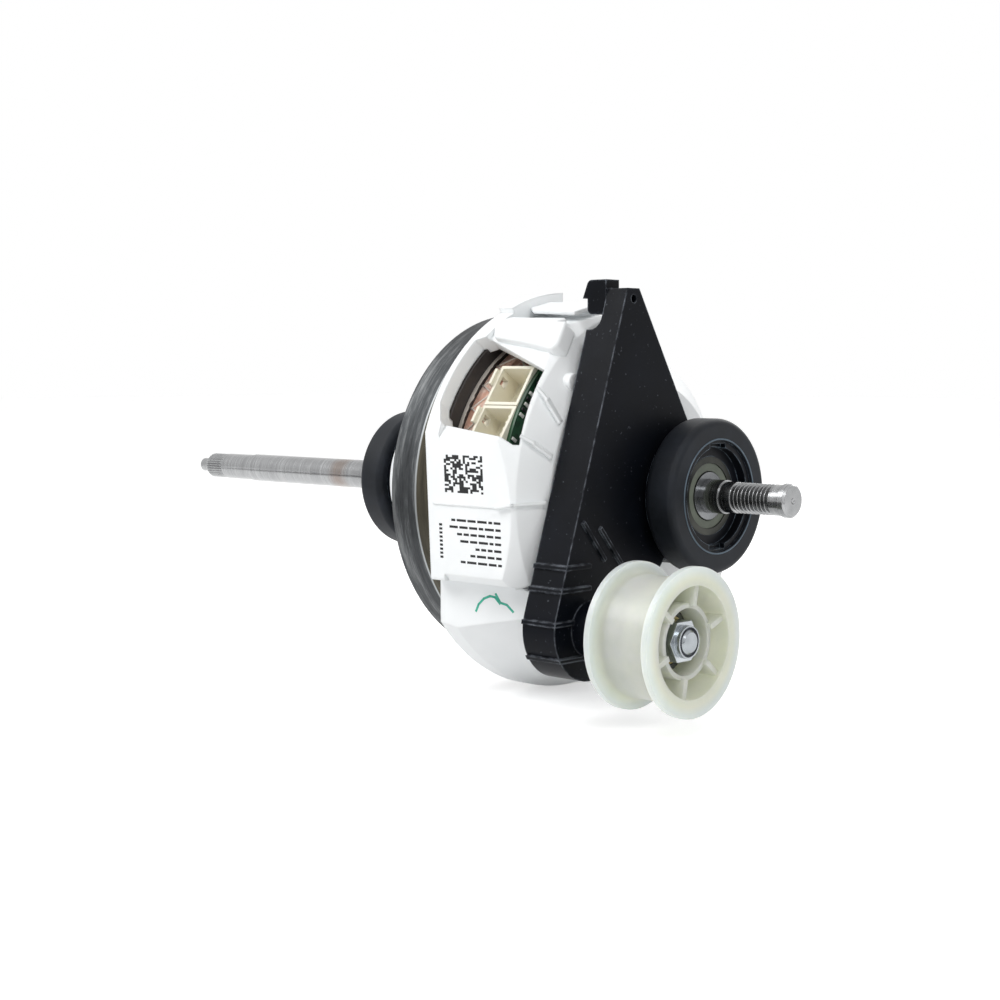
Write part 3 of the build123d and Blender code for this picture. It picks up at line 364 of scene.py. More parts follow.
def rubber(name, base, bloom, roughness):
    """A matt elastomer with a cloudy bloom on it."""
    material, tree, shader = new_material(name, Specular_IOR_Level=0.2)
    cover = cloud(tree, BLOOM, detail=6.0)
    tint = add(tree, "ValToRGB", {"Fac": cover}, stops=((0.35, base), (0.75, bloom)))
    tree.links.new(tint.outputs["Color"], shader.inputs["Base Color"])
    uneven_gloss(tree, shader, cover, roughness, roughness + BLOOM_DULLS)
    grain = cloud(tree, RUBBER_GRAIN, detail=2.0)
    relief(tree, shader, grain, RUBBER_GRAIN_DEPTH, RUBBER_ROUND_OFF)
    return material


ring_rubber = rubber("black mounting rubber", 0x15181D, 0x23272E, 0.45)
seal_rubber = rubber("greased seal rubber", 0x5E645A, 0x787E72, 0.35)
print("rubbers made")

# %% [markdown]
# ## Turned and plated metals
# A turned bar has fine rings square to its axis, so its pattern runs quickly along X and
# slowly round the bar. Plated fasteners have the same rings, wider, under a bright coat. The
# shaft was heated near its rear ring, which left a brown stain there.

# %% Turned and plated metals
RING_REACH, BLOT, STAIN_PATCH = 20, 16, 6
RING_DEPTH, METAL_ROUND_OFF = 0.006, 0.2
BLOT_EDGES, BLOT_COVER = (0.45, 0.75), (0.0, 0.6)
STAIN_CORE, STAIN_COVER = 0.3, 0.75


def turned_steel(name, dark, pale, roughness, ring, stain=None):
    """Bright steel with turning rings along X, and perhaps a stain between two places."""
    material, tree, shader = new_material(name, Metallic=1.0)
    rings = cloud(tree, RING_REACH, stretch=(RING_REACH / ring, 1, 1), detail=3.0)
    blots = cloud(tree, BLOT)
    tint = add(tree, "ValToRGB", {"Fac": rings}, stops=((0.3, dark), (0.7, pale))).outputs["Color"]
    tint = laid_over(tree, tint, colour(dark), blots, where=BLOT_EDGES, cover=BLOT_COVER)
    if stain:
        start, end, code = stain
        half = (end - start) / 2 * MM
        away = off_plane(tree, along_shaft(tree), (start + end) / 2)
        ends = {"From Min": half * STAIN_CORE, "From Max": half, "To Min": STAIN_COVER, "To Max": 0.0}
        band = add(tree, "MapRange", {"Value": away, **ends}).outputs["Result"]
        broken = add(tree, "Math", {0: band, 1: cloud(tree, STAIN_PATCH)}, operation="MULTIPLY")
        tint = laid_over(tree, tint, colour(code), broken.outputs["Value"])
    tree.links.new(tint, shader.inputs["Base Color"])
    uneven_gloss(tree, shader, rings, roughness - GLOSS_SWING, roughness + GLOSS_SWING)
    relief(tree, shader, rings, RING_DEPTH, METAL_ROUND_OFF)
    return material


HEAT_STAIN = (-199.0, -186.0, 0x7A5C44)
shaft_steel = turned_steel("ground shaft steel", 0x848586, 0xB4B5B6, 0.25, 0.25, HEAT_STAIN)
bearing_steel = turned_steel("ground bearing steel", 0x5E6062, 0x8A8C8E, 0.2, 0.15)
# Painted shade: the outer rings are darkened as the shadow in their recess, with some grease.
shaded_greasy_steel = turned_steel("shaded greasy bearing steel", 0x2E2F2E, 0x4C4D48, 0.35, 0.3)
zinc_steel = turned_steel("bright zinc plate", 0x8F9498, 0xC6CBCF, 0.24, 1.5)
yellow_zinc = turned_steel("yellow passivated zinc", 0xA89A6C, 0xD2C596, 0.28, 1.5)
plated_brass = turned_steel("tinned brass pins", 0xA8965A, 0xD8CA8E, 0.3, 0.5)
print("turned and plated metals made")

# %% [markdown]
# ## The core's stacked sheets
# The stator is a stack of half-millimetre sheets, which show as coarse rings crossed by
# stains from the varnish oven. A bright scribed line runs round it, and the band between
# that line and the front shield is painted darker and olive: painted shade, the shadow
# under the shield's overhanging rim.

# %% Stacked sheets
SHEET = 0.5
SHEET_REACH = 30
LAYER_DEPTH, CORE_ROUND_OFF = 0.03, 0.3
BAND_X, BAND_BLUR = -80.6, 0.1
LINE_HALF, LINE_FADE, LINE_COVER = 0.25, 0.6, (0.8, 0.0)
SHADE_EDGES, SHADE_COVER = (0.4, 0.7), (0.0, 0.55)
VARNISH = ((0.32, 0x2A2B2D), (0.5, 0x4B4D4F), (0.7, 0x8B8D8E))
RIM_SHADE = ((0.3, 0x2E2C25), (0.7, 0x5C574A))
SHADED_SHEET, BRIGHT_LINE = 0x3A3E40, 0xB4B8BA


def stacked_sheets():
    """Sheet steel stacked along X, with oven stains and a band by the front shield painted darker as
    shade.
    """
    material, tree, shader = new_material("stacked electrical sheet", Metallic=0.9)
    x = along_shaft(tree)
    layers = cloud(tree, SHEET_REACH, stretch=(SHEET_REACH / SHEET, 0.4, 0.4), detail=3.0)
    streaks = cloud(tree, SHEET_REACH, stretch=(7, 0.8, 0.8), detail=9.0, rough=0.75)
    tint = add(tree, "ValToRGB", {"Fac": streaks}, stops=VARNISH).outputs["Color"]
    tint = laid_over(tree, tint, colour(SHADED_SHEET), layers, where=SHADE_EDGES, cover=SHADE_COVER)
    # Painted shade: the band by the front shield is darkened and olive as the shadow under the shield's
    # rim.
    rim_shade = add(tree, "ValToRGB", {"Fac": streaks}, stops=RIM_SHADE).outputs["Color"]
    past_line = ((BAND_X - BAND_BLUR) * MM, (BAND_X + BAND_BLUR) * MM)
    tint = laid_over(tree, tint, rim_shade, x, where=past_line)
    near_line = (LINE_HALF * MM, LINE_FADE * MM)
    away = off_plane(tree, x, BAND_X)
    tint = laid_over(tree, tint, colour(BRIGHT_LINE), away, where=near_line, cover=LINE_COVER)
    tree.links.new(tint, shader.inputs["Base Color"])
    uneven_gloss(tree, shader, streaks, 0.6, 0.42)
    relief(tree, shader, layers, LAYER_DEPTH, CORE_ROUND_OFF)
    return material


core_steel = stacked_sheets()
print("stacked sheets made")

# %% [markdown]
# ## The idler's nylon
# The pulley is unpigmented nylon. It is milky: light goes in, scatters and comes out again
# nearby, and the thin flanges look cooler than the thick hub. Subsurface scattering over
# about a centimetre gives the milkiness, the distance from the pulley's axis tells hub from
# flange, and a thin clear gloss lies over both.

# %% Natural nylon
SCATTER = 14
MILK, NYLON_SHEEN, NYLON_GRAIN = 18, 5, 1.5
NYLON_GRAIN_DEPTH, NYLON_ROUND_OFF = 0.02, 0.5
HUB_ENDS, FLANGE_STARTS = 20.8, 23.5
WARM_MILK = ((0.3, 0xCCD3C0), (0.7, 0xDBDDCB))
COOL_MILK = ((0.3, 0xC2D0CC), (0.7, 0xCFDAD5))
IDLER_MIDDLE = (22.1, -52.0, -43.0)


def natural_nylon():
    """Milky nylon, warmer where it is thick and cooler in the thin flanges."""
    material, tree, shader = new_material(
        "natural nylon",
        Subsurface_Weight=1.0,
        Subsurface_Scale=SCATTER * MM,
        Subsurface_Radius=(1.0, 1.0, 0.8),
        Coat_Weight=0.15,
        Coat_Roughness=0.2,
    )
    place = add(tree, "TexCoord").outputs["Object"]
    middle = Vector(IDLER_MIDDLE) * MM
    from_middle = add(tree, "VectorMath", {0: place, 1: middle}, operation="SUBTRACT")
    square = {0: from_middle.outputs["Vector"], 1: (0, 1, 1)}
    from_axis = add(tree, "VectorMath", square, operation="MULTIPLY").outputs["Vector"]
    radius = add(tree, "VectorMath", {0: from_axis}, operation="LENGTH").outputs["Value"]
    milk = cloud(tree, MILK)
    warm = add(tree, "ValToRGB", {"Fac": milk}, stops=WARM_MILK).outputs["Color"]
    cool = add(tree, "ValToRGB", {"Fac": milk}, stops=COOL_MILK).outputs["Color"]
    tint = laid_over(tree, warm, cool, radius, where=(HUB_ENDS * MM, FLANGE_STARTS * MM))
    tree.links.new(tint, shader.inputs["Base Color"])
    uneven_gloss(tree, shader, cloud(tree, NYLON_SHEEN), 0.32, 0.44)
    grain = cloud(tree, NYLON_GRAIN, detail=2.0)
    relief(tree, shader, grain, NYLON_GRAIN_DEPTH, NYLON_ROUND_OFF)
    return material


idler_nylon = natural_nylon()
print("natural nylon made, its axis through", IDLER_MIDDLE)

# %% [markdown]
# ## Circuit board and ferrite
# The board is laminate under green solder mask: glossy, with paler tracks showing through.
# The magnets are buried in the rotor and only need a dull, sintered grey.

# %% Board and magnets
TRACK, TRACK_DEPTH, BOARD_ROUND_OFF = 5, 0.03, 0.15
TRACK_EDGES, TRACK_COVER = (0.52, 0.54), 0.7
BARE_MASK, MASK_ON_TRACKS = 0x07331A, 0x0F4A28


def solder_mask():
    """Green lacquer over a board, with tracks that show through as paler lanes."""
    material, tree, shader = new_material(
        "green solder mask", Coat_Weight=0.15, Coat_Roughness=0.2, Roughness=0.35
    )
    tracks = cloud(tree, TRACK, detail=0.0)
    ends = {"From Min": TRACK_EDGES[0], "From Max": TRACK_EDGES[1], "To Max": TRACK_COVER}
    lanes = add(tree, "MapRange", {"Value": tracks, **ends}).outputs["Result"]
    tint = laid_over(tree, colour(BARE_MASK), colour(MASK_ON_TRACKS), lanes)
    tree.links.new(tint, shader.inputs["Base Color"])
    relief(tree, shader, lanes, TRACK_DEPTH, BOARD_ROUND_OFF)
    return material


board_lacquer = solder_mask()
ferrite = moulded("sintered ferrite", 0x2E2E31, 0x262628, 0x444448, 0.65)
print("board and ferrite made")

# %% [markdown]
# ## Dress the parts
# The imported record says what each part is made of, so its slots choose the finish here. The
# bearing cups have a finish of their own, whose edges carry pale painted highlights, and the
# front and rear outer rings have one darkened as painted shade, with grease. The solid of
# the winding is hidden behind the wires made below, so any metal does for it.

# %% Give every part its finish
FINISHES = {
    "laminated_steel": core_steel,
    "insulation_plastic": dark_insulation,
    "white_plastic": white_plastic,
    "black_plastic": black_plastic,
    "ring_rubber": ring_rubber,
    "shield_rubber": seal_rubber,
    "shaft_steel": shaft_steel,
    "bearing_steel": bearing_steel,
    "zinc_steel": zinc_steel,
    "yellow_zinc": yellow_zinc,
    "ferrite": ferrite,
    "board_laminate": board_lacquer,
    "ivory_plastic": ivory_plastic,
    "plated_brass": plated_brass,
    "translucent_plastic": idler_nylon,
    "copper_winding": plated_brass,
}
OWN_FINISHES = {
    "front_bearing_carrier": cup_plastic,
    "rear_bearing_carrier": cup_plastic,
    "front_bearing_outer_ring": shaded_greasy_steel,
    "rear_bearing_outer_ring": shaded_greasy_steel,
}
for subpart in frame["record"]["subparts"]:
    part = nodes[subpart["node"]]
    finish = OWN_FINISHES.get(subpart["node"], FINISHES[subpart["material_slot"]])
    part.data.materials.clear()
    part.data.materials.append(finish)

# %% [markdown]
# ## Small helpers for shapes
# New pieces are built with bmesh in millimetres and shrunk to metres at the end. A ring is a
# closed section spun round the shaft. With a climb, the same spin winds the section into a
# helix, which is then closed at both ends. A cone is made standing, and one quarter turn
# lays it along the shaft.

# %% Pieces and spun sections
LYING = Matrix.Rotation(pi / 2, 4, "Y")


def finished(name, form, finish, body):
    """Turn a form drawn in millimetres into a piece that rides on a body."""
    bmesh.ops.recalc_face_normals(form, faces=form.faces)
    bmesh.ops.scale(form, verts=form.verts, vec=(MM, MM, MM))
    mesh = bpy.data.meshes.new(name)
    form.to_mesh(mesh)
    form.free()
    mesh.materials.append(finish)
    piece = bpy.data.objects.new(name, mesh)
    bpy.context.scene.collection.objects.link(piece)
    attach(piece, body)
    return piece


def spin_section(form, section, steps, turns=1.0, climb=0.0):
    """Spin a closed section of (x, radius) points round the shaft, climbing if asked."""
    ring = [form.verts.new((x, 0.0, radius)) for x, radius in section]
    sides = [form.edges.new(pair) for pair in zip(ring, ring[1:] + ring[:1])]
    total = max(1, round(steps * turns))
    whole = turns == 1.0 and climb == 0.0
    step = Vector((climb * turns / total, 0, 0))
    if not whole:
        form.faces.new(ring)
    made = bmesh.ops.spin(
        form, geom=ring + sides, cent=(0, 0, 0), axis=(1, 0, 0), dvec=step,
        angle=2 * pi * turns, steps=total, use_merge=whole,
    )
    if not whole:
        form.faces.new([v for v in made["geom_last"] if isinstance(v, bmesh.types.BMVert)])


# %% [markdown]
# ## Sections and a little disorder
# A wire seen this small needs only six corners, and a bundle's corner three short flats.
# Wound wire is never quite even, so its points are pushed about by smooth noise. Blender
# starts its noise vectors from the clock, so a seed is set here first. With it, each run
# lays the same wires.

# %% Sections and wander
WIRE_CORNERS = 6
CORNER_POINTS = 4
WANDER_SEED = 7
noise.seed_set(WANDER_SEED)


def round_section(x, radius, thick):
    """A small round section, as (x, radius) points."""
    angles = [2 * pi * corner / WIRE_CORNERS for corner in range(WIRE_CORNERS)]
    return [(x + thick * cos(angle), radius + thick * sin(angle)) for angle in angles]


def rounded_box(x_low, x_high, low, high, corner):
    """A rounded rectangle of (x, radius) points."""
    section = []
    for turn, (x, radius) in enumerate(((x_high, high), (x_low, high), (x_low, low), (x_high, low))):
        centre_x = x + (corner if x == x_low else -corner)
        centre_radius = radius + (corner if radius == low else -corner)
        for point in range(CORNER_POINTS):
            angle = pi / 2 * (turn + point / (CORNER_POINTS - 1))
            section.append((centre_x + corner * cos(angle), centre_radius + corner * sin(angle)))
    return section


def wander(form, size, amount, along=1.0):
    """Push every point of a form about by smooth noise, the same in each run."""
    for vert in form.verts:
        drift = noise.noise_vector(vert.co / size) * amount
        vert.co += Vector((drift.x * along, drift.y, drift.z))


# %% [markdown]
# ## Drawing on a face
# The shield's box has flat faces that lean. A face frame is a matrix that carries flat
# drawings onto one of them: x runs along the shaft, y up the face and z out of it. Blocks
# and raised outlines are then drawn as if the face lay flat on a table.

# %% Face frames, blocks, prisms and places on a ring


def face_frame(angle, distance):
    """Carries drawings to the face at an angle above the level near side of the shaft."""
    turn = radians(angle)
    along, up = Vector((1, 0, 0)), Vector((0, sin(turn), cos(turn)))
    out = along.cross(up)
    return frame_at(out * distance, along, up, out)


def block(form, face, middle, size):
    """Add a block to a form, its middle given in a face's own directions."""
    place = face @ Matrix.Translation(middle) @ Matrix.Diagonal((*size, 1.0))
    bmesh.ops.create_cube(form, size=1.0, matrix=place)


def prism(form, face, outline, heights, round_off):
    """Raise an outline of (x, y) points between two heights above a face, its edges rounded."""
    low, high = heights
    foot = [form.verts.new(face @ Vector((x, y, low))) for x, y in outline]
    raised = bmesh.ops.extrude_face_region(form, geom=[form.faces.new(foot)])["geom"]
    top = [part for part in raised if isinstance(part, bmesh.types.BMVert)]
    bmesh.ops.translate(form, verts=top, vec=face.to_3x3() @ Vector((0, 0, high - low)))
    # A dictionary drops what comes twice, and keeps the order the same in each run.
    walls = dict.fromkeys(wall for corner in foot + top for wall in corner.link_faces)
    rims = dict.fromkeys(edge for corner in foot + top for edge in corner.link_edges)
    bmesh.ops.recalc_face_normals(form, faces=list(walls))
    bmesh.ops.bevel(
        form, geom=list(rims), offset=round_off, affect="EDGES", segments=3, profile=0.5, material=-1
    )


def on_ring(x, radius, angle):
    """The point at a near-side angle and a radius from the shaft."""
    turn = radians(angle)
    return Vector((x, -radius * cos(turn), radius * sin(turn)))


# %% [markdown]
# ## Wire, cord and film
# Enamel makes copper look pink and glassy. Its colours are painted paler than the wire is,
# as painted light in the shade under the window, and the palest patches, where varnish
# pools, are partly painted highlights. The bundle is laced with white cotton, and a strip of
# milky film insulates it.

# %% Enamelled wire, lacing cotton and film
POOL_AND_HIGHLIGHT = 7
# Painted light: these shades are paler than enamelled copper, to lift the shade under the window, and
# the palest stands for highlights.
LIT_ENAMEL = ((0.3, 0xDDA78E), (0.5, 0xF0CDBC), (0.7, 0xFAF0EA))


def enamelled_wire():
    """Copper under a clear pinkish enamel, painted paler as light, with pale patches that are pooled
    varnish and painted highlights.
    """
    material, tree, shader = new_material(
        "enamelled copper wire", Metallic=0.15, Coat_Weight=0.6, Coat_Roughness=0.15
    )
    pools_and_highlights = cloud(tree, POOL_AND_HIGHLIGHT, detail=3.0)
    tint = add(tree, "ValToRGB", {"Fac": pools_and_highlights}, stops=LIT_ENAMEL).outputs["Color"]
    tree.links.new(tint, shader.inputs["Base Color"])
    uneven_gloss(tree, shader, pools_and_highlights, 0.3, 0.5)
    return material


copper_wire = enamelled_wire()
lacing_cotton = moulded("white lacing cotton", 0xE8DFD6, 0xD8CCC0, 0xF0EAE2, 0.6)
clear_film = moulded("insulating film", 0xC9C2BA, 0xA9A29A, 0xDDD8D0, 0.35)
print("wire, cotton and film made")

# %% [markdown]
# ## The winding
# Under the window lies the front end of the stator's winding: enamelled wire, wound in a
# thick bundle and combed a little out of order. Wires run through the core to a smaller
# bundle at the rear. Both bundles and the bars between them are one form, which stands for
# the winding's plain solid.

# %% Bundles and slot bars
BUNDLE_X, BUNDLE_RADIUS = (-68.7, -61.4), (42.2, 57.4)
REAR_BUNDLE_X, REAR_BUNDLE_RADIUS = (-102.0, -94.3), (42.2, 49.4)
BUNDLE_CORNER, BUNDLE_STEPS = 2.6, 180
SLOT_BARS, SLOT_BAR_RING, SLOT_BAR_RADIUS, SLOT_BAR_SINK = 12, 45.75, 2.6, 1.0

bundle = bmesh.new()
spin_section(bundle, rounded_box(*BUNDLE_X, *BUNDLE_RADIUS, BUNDLE_CORNER), BUNDLE_STEPS)
wander(bundle, size=6.0, amount=0.35)
spin_section(bundle, rounded_box(*REAR_BUNDLE_X, *REAR_BUNDLE_RADIUS, BUNDLE_CORNER), BUNDLE_STEPS)
bar_middle = (BUNDLE_X[0] + REAR_BUNDLE_X[1]) / 2
bar_length = BUNDLE_X[0] - REAR_BUNDLE_X[1] + 2 * SLOT_BAR_SINK
for bar in range(SLOT_BARS):
    turn = Matrix.Rotation(2 * pi * bar / SLOT_BARS, 4, "X")
    place = turn @ Matrix.Translation((bar_middle, SLOT_BAR_RING, 0)) @ LYING
    bmesh.ops.create_cone(
        bundle, cap_ends=True, segments=16, radius1=SLOT_BAR_RADIUS, radius2=SLOT_BAR_RADIUS,
        depth=bar_length, matrix=place,
    )
winding = finished("winding_bundle", bundle, copper_wire, "root")
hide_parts("stator_winding")
print("winding: two bundles and", SLOT_BARS, "slot bars")

# %% [markdown]
# ## Single wires
# The bundle's outer turns are one long helix, and the wires on its face are rings that
# wander, because there the layers cross and no single turn can be followed by eye.

# %% Outer turns and face wires
WIRE_THICK, WIRE_PITCH = 0.34, 0.66
TURN_RADIUS, TURN_STEPS = 57.9, 90
FACE_X, FACE_MARGIN, FACE_RIM, FACE_STEPS = -61.2, 3.0, 0.8, 120

outer_turns = bmesh.new()
turn_count = int((BUNDLE_X[1] - BUNDLE_X[0] - 2 * WIRE_THICK) / WIRE_PITCH)
first_turn = round_section(BUNDLE_X[0] + WIRE_THICK, TURN_RADIUS, WIRE_THICK)
spin_section(outer_turns, first_turn, TURN_STEPS, turns=float(turn_count), climb=WIRE_PITCH)
wander(outer_turns, size=9.0, amount=0.22)
finished("winding_outer_turns", outer_turns, copper_wire, "root")

face_wires = bmesh.new()
face_rings = int((BUNDLE_RADIUS[1] - BUNDLE_RADIUS[0] - FACE_MARGIN) / WIRE_PITCH)
for ring in range(face_rings):
    radius = BUNDLE_RADIUS[1] - FACE_RIM - ring * WIRE_PITCH
    spin_section(face_wires, round_section(FACE_X, radius, WIRE_THICK), FACE_STEPS)
wander(face_wires, size=11.0, amount=0.9, along=0.35)
finished("winding_face_wires", face_wires, copper_wire, "root")
print("winding:", turn_count, "outer turns and", face_rings, "face wires")

# %% [markdown]
# ## Lacing
# White cotton ties the bundle together. Each loop comes up over its rim, crosses its face
# and goes down at the bore, and leans one way or the other like zigzag stitching. A curve
# with a round bevel is the simplest thread there is.

# %% Lacing
LACING_STEP, LACING_THICK = 5.0, 0.36
LACING_LEANS = (-2.0, 3.5)
LACING_ROUTE = (
    (-68.2, 58.2, -1.0), (-64.5, 58.5, 0.0), (-60.9, 58.3, 1.0),
    (-60.5, 54.0, 1.5), (-60.6, 47.0, 2.0), (-61.5, 42.6, 2.2),
)


def laid_cords(name, routes, thick, finish, body):
    """Smooth round cords through lists of points in millimetres, as one curve."""
    curve = bpy.data.curves.new(name, "CURVE")
    curve.dimensions = "3D"
    curve.bevel_depth = thick * MM
    curve.bevel_resolution = 2
    curve.resolution_u = 4
    for route in routes:
        spline = curve.splines.new("NURBS")
        spline.points.add(len(route) - 1)
        for point, place in zip(spline.points, route):
            point.co = (*(Vector(place) * MM), 1.0)
        spline.order_u = 3
        spline.use_endpoint_u = True
    curve.materials.append(finish)
    piece = bpy.data.objects.new(name, curve)
    bpy.context.scene.collection.objects.link(piece)
    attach(piece, body)
    return piece


lacing = []
for loop in range(int(360 / LACING_STEP)):
    angle = loop * LACING_STEP
    lean = LACING_LEANS[loop % 2]
    lacing.append([on_ring(x, radius, angle + share * lean) for x, radius, share in LACING_ROUTE])
laid_cords("winding_lacing", lacing, LACING_THICK, lacing_cotton, "root")
print("winding:", len(lacing), "lacings")

# %% [markdown]
# ## Film
# A strip of insulating film stands round the bundle. It was cut by hand, so its free edge
# is ragged: a coarse noise makes it wave and a fine one frays it.

# %% Film
FILM_X, FILM_RADIUS, FILM_THICK, FILM_STEPS = (-68.75, -67.0), 60.5, 0.12, 360
FILM_FREE_X = -68.0
FRAY, FRAY_SIZE, WAVE, WAVE_SIZE = 0.7, 1.7, 0.5, 6.0
film = bmesh.new()
film_outside = FILM_RADIUS + FILM_THICK
film_section = [
    (FILM_X[0], FILM_RADIUS), (FILM_X[1], FILM_RADIUS),
    (FILM_X[1], film_outside), (FILM_X[0], film_outside),
]
spin_section(film, film_section, FILM_STEPS)
for vert in film.verts:
    if vert.co.x > FILM_FREE_X:
        frayed = FRAY * noise.noise(vert.co / FRAY_SIZE)
        vert.co.x += frayed + WAVE * noise.noise(vert.co / WAVE_SIZE)
finished("winding_film", film, clear_film, "root")
print("winding: film of", len(film_section) * FILM_STEPS, "points")

# %% [markdown]
# ## Details of the plugs and the board
# The lower header is a comb: short teeth stand between its contacts. A thin rib closes each
# end of the pair of headers, and small chips sit on the board near its edge. All are blocks
# drawn on the header's leaning face.

# %% Comb teeth, end ribs and chips
HEADER_ANGLE = 34.5
TEETH, TOOTH_PITCH, FIRST_TOOTH, TOOTH = 5, 2.5, (-44.6, -4.6, 58.4), (1.8, 0.9, 4.4)
END_RIBS, END_RIB_X, END_RIB_HEIGHT, END_RIB = (-17.2, 13.2), -51.0, 57.2, (8.0, 0.9, 7.0)
CHIP_X, CHIP = -41.7, (0.6, 1.1, 2.2)
CHIPS = ((3.5, 58.6), (1.2, 58.8), (-1.0, 58.5), (-3.3, 58.8), (-5.4, 58.6), (8.5, 57.5), (-14.5, 57.0))
header_face = face_frame(HEADER_ANGLE, 0.0)
comb = bmesh.new()
for tooth in range(TEETH):
    x, y, height = FIRST_TOOTH
    block(comb, header_face, (x, y - TOOTH_PITCH * tooth, height), TOOTH)
for y in END_RIBS:
    block(comb, header_face, (END_RIB_X, y, END_RIB_HEIGHT), END_RIB)
finished("header_comb", comb, ivory_plastic, "root")

white_chip = moulded("white chip ceramic", 0xDADAD4, 0xC8C8C2, 0xEFEFEA, 0.4)
black_chip = moulded("black chip resin", 0x17181A, 0x101113, 0x2A2B2D, 0.4)
for name, finish, first in (("chips_white", white_chip, 0), ("chips_black", black_chip, 1)):
    chips = bmesh.new()
    for y, height in CHIPS[first::2]:
        block(chips, header_face, (CHIP_X, y, height), CHIP)
    finished(name, chips, finish, "root")
print("headers:", TEETH, "teeth,", len(END_RIBS), "end ribs and", len(CHIPS), "chips")

# %% [markdown]
# ## Print
# The box's flat carries black ink: a square of random cells, lines of plain dashes, and a
# short row of marks beside them. They come from a seeded generator and say nothing. Every
# mark is a film of ink, four hundredths of a millimetre thick.

# %% Printed marks
INK = 0.04
BOX_FACE_ANGLE, BOX_FACE_DISTANCE = -3.0, 66.7
CODE_X, CODE_Y, CODE_CELLS, CODE_FILL = (-64.1, -45.2), (5.1, 18.4), 18, 0.52
LINES, LINE_PITCH, LINE_START = 7, 2.45, (-37.6, -4.6)
DASH_COUNTS, DASH_LENGTHS, DASH_WIDTH, DASH_GAP = (4, 7), (1.6, 4.6), 0.85, 0.8
ROW_MARKS, ROW_PITCH, ROW_START, ROW_MARK = 9, 1.45, (-67.0, -6.6), (1.5, 0.8)
print_ink = moulded("black print ink", 0x1A1B1D, 0x141517, 0x2C2D30, 0.6)
rng = random.Random(7)
box_face = face_frame(BOX_FACE_ANGLE, BOX_FACE_DISTANCE)
marks = bmesh.new()


def ink_mark(form, face, x, y, length, width):
    """Print one flat mark, its middle at x and y on a face."""
    block(form, face, (x, y, INK / 2), (length, width, INK))


cell = ((CODE_X[1] - CODE_X[0]) / CODE_CELLS, (CODE_Y[1] - CODE_Y[0]) / CODE_CELLS)
for column in range(CODE_CELLS):
    for row in range(CODE_CELLS):
        if rng.random() < CODE_FILL:
            x = CODE_X[0] + (column + 0.5) * cell[0]
            y = CODE_Y[0] + (row + 0.5) * cell[1]
            ink_mark(marks, box_face, x, y, *cell)
for line in range(LINES):
    x, y = LINE_START[0], LINE_START[1] - LINE_PITCH * line
    for dash in range(rng.randint(*DASH_COUNTS)):
        length = rng.uniform(*DASH_LENGTHS)
        ink_mark(marks, box_face, x - length / 2, y, length, DASH_WIDTH)
        x -= length + DASH_GAP
for mark in range(ROW_MARKS):
    ink_mark(marks, box_face, ROW_START[0], ROW_START[1] - ROW_PITCH * mark, *ROW_MARK)
print("print:", len(marks.verts) // 8, "marks")
finished("shield_print", marks, print_ink, "root")

# %% [markdown]
# ## Pen
# Someone passed the motor with a green felt pen: two quick strokes on the skirt below the
# box. Each stroke is a chain of short ink marks, laid end to end on the skirt's flat.

# %% Pen strokes
SKIRT_CORNER, SKIRT_RUN = (-73.0, -60.5, 0.0), (38.0, 7.5, 0.0)
PEN_WIDTH, PEN_OVERLAP = 0.85, 0.5
STROKES = (
    ((15.3, -41.1), (16.4, -38.6), (18.6, -36.4), (21.2, -35.3), (23.3, -35.6), (25.4, -37.8)),
    ((23.6, -34.4), (25.6, -37.4), (28.3, -38.0), (30.9, -40.3)),
)
pen_ink = moulded("green pen ink", 0x3EBFA2, 0x2BA88C, 0x7FD0BF, 0.5)
skirt_along, skirt_up = Vector(SKIRT_RUN).normalized(), Vector((0, 0, 1))
skirt_face = frame_at(SKIRT_CORNER, skirt_along, skirt_up, skirt_along.cross(skirt_up))
pen = bmesh.new()
for stroke in STROKES:
    for (x1, y1), (x2, y2) in zip(stroke, stroke[1:]):
        run = Vector((x2 - x1, y2 - y1))
        turned = Matrix.Rotation(run.angle_signed(Vector((1, 0))), 4, "Z")
        middle = Matrix.Translation(((x1 + x2) / 2, (y1 + y2) / 2, 0))
        ink_mark(pen, skirt_face @ middle @ turned, 0, 0, run.length + PEN_OVERLAP, PEN_WIDTH)
finished("pen_tick", pen, pen_ink, "root")
print("pen:", len(STROKES), "strokes")

# %% [markdown]
# ## A painted highlight on the lip of a rubber ring
# The lip round each ring's bore catches the light as a pale blue-grey arc. A thin pale band,
# a small section spun round the shaft once for each ring, is painted there as that highlight.

# %% Painted lip highlights
REAR_RING_X = -148.0
LIP_SECTION = ((5.85, 19.95), (6.12, 20.0), (6.12, 20.5), (5.85, 20.6))
LIP_STEPS = 120
# Painted highlight: the pale blue-grey rubber stands for the light on the lip.
lip_highlight_rubber = rubber("painted lip highlight", 0x4E5C68, 0x73828F, 0.45)
for name, middle, way in (("front_ring_lip_highlight", 0.0, 1), ("rear_ring_lip_highlight", REAR_RING_X, -1)):
    lip = bmesh.new()
    spin_section(lip, [(middle + way * x, radius) for x, radius in LIP_SECTION], LIP_STEPS)
    finished(name, lip, lip_highlight_rubber, "root")
print("painted lip highlights made")

# %% [markdown]
# ## Ribs and a boss on the shoulder
# Moulded ribs run over the box's shoulder, a fine seam crosses its flat, and a round boss
# stands beside the window. They are low, so they only show where light rakes across them.
# A rib is a chain of blocks from point to point, sunk into the wall so that no gap shows.

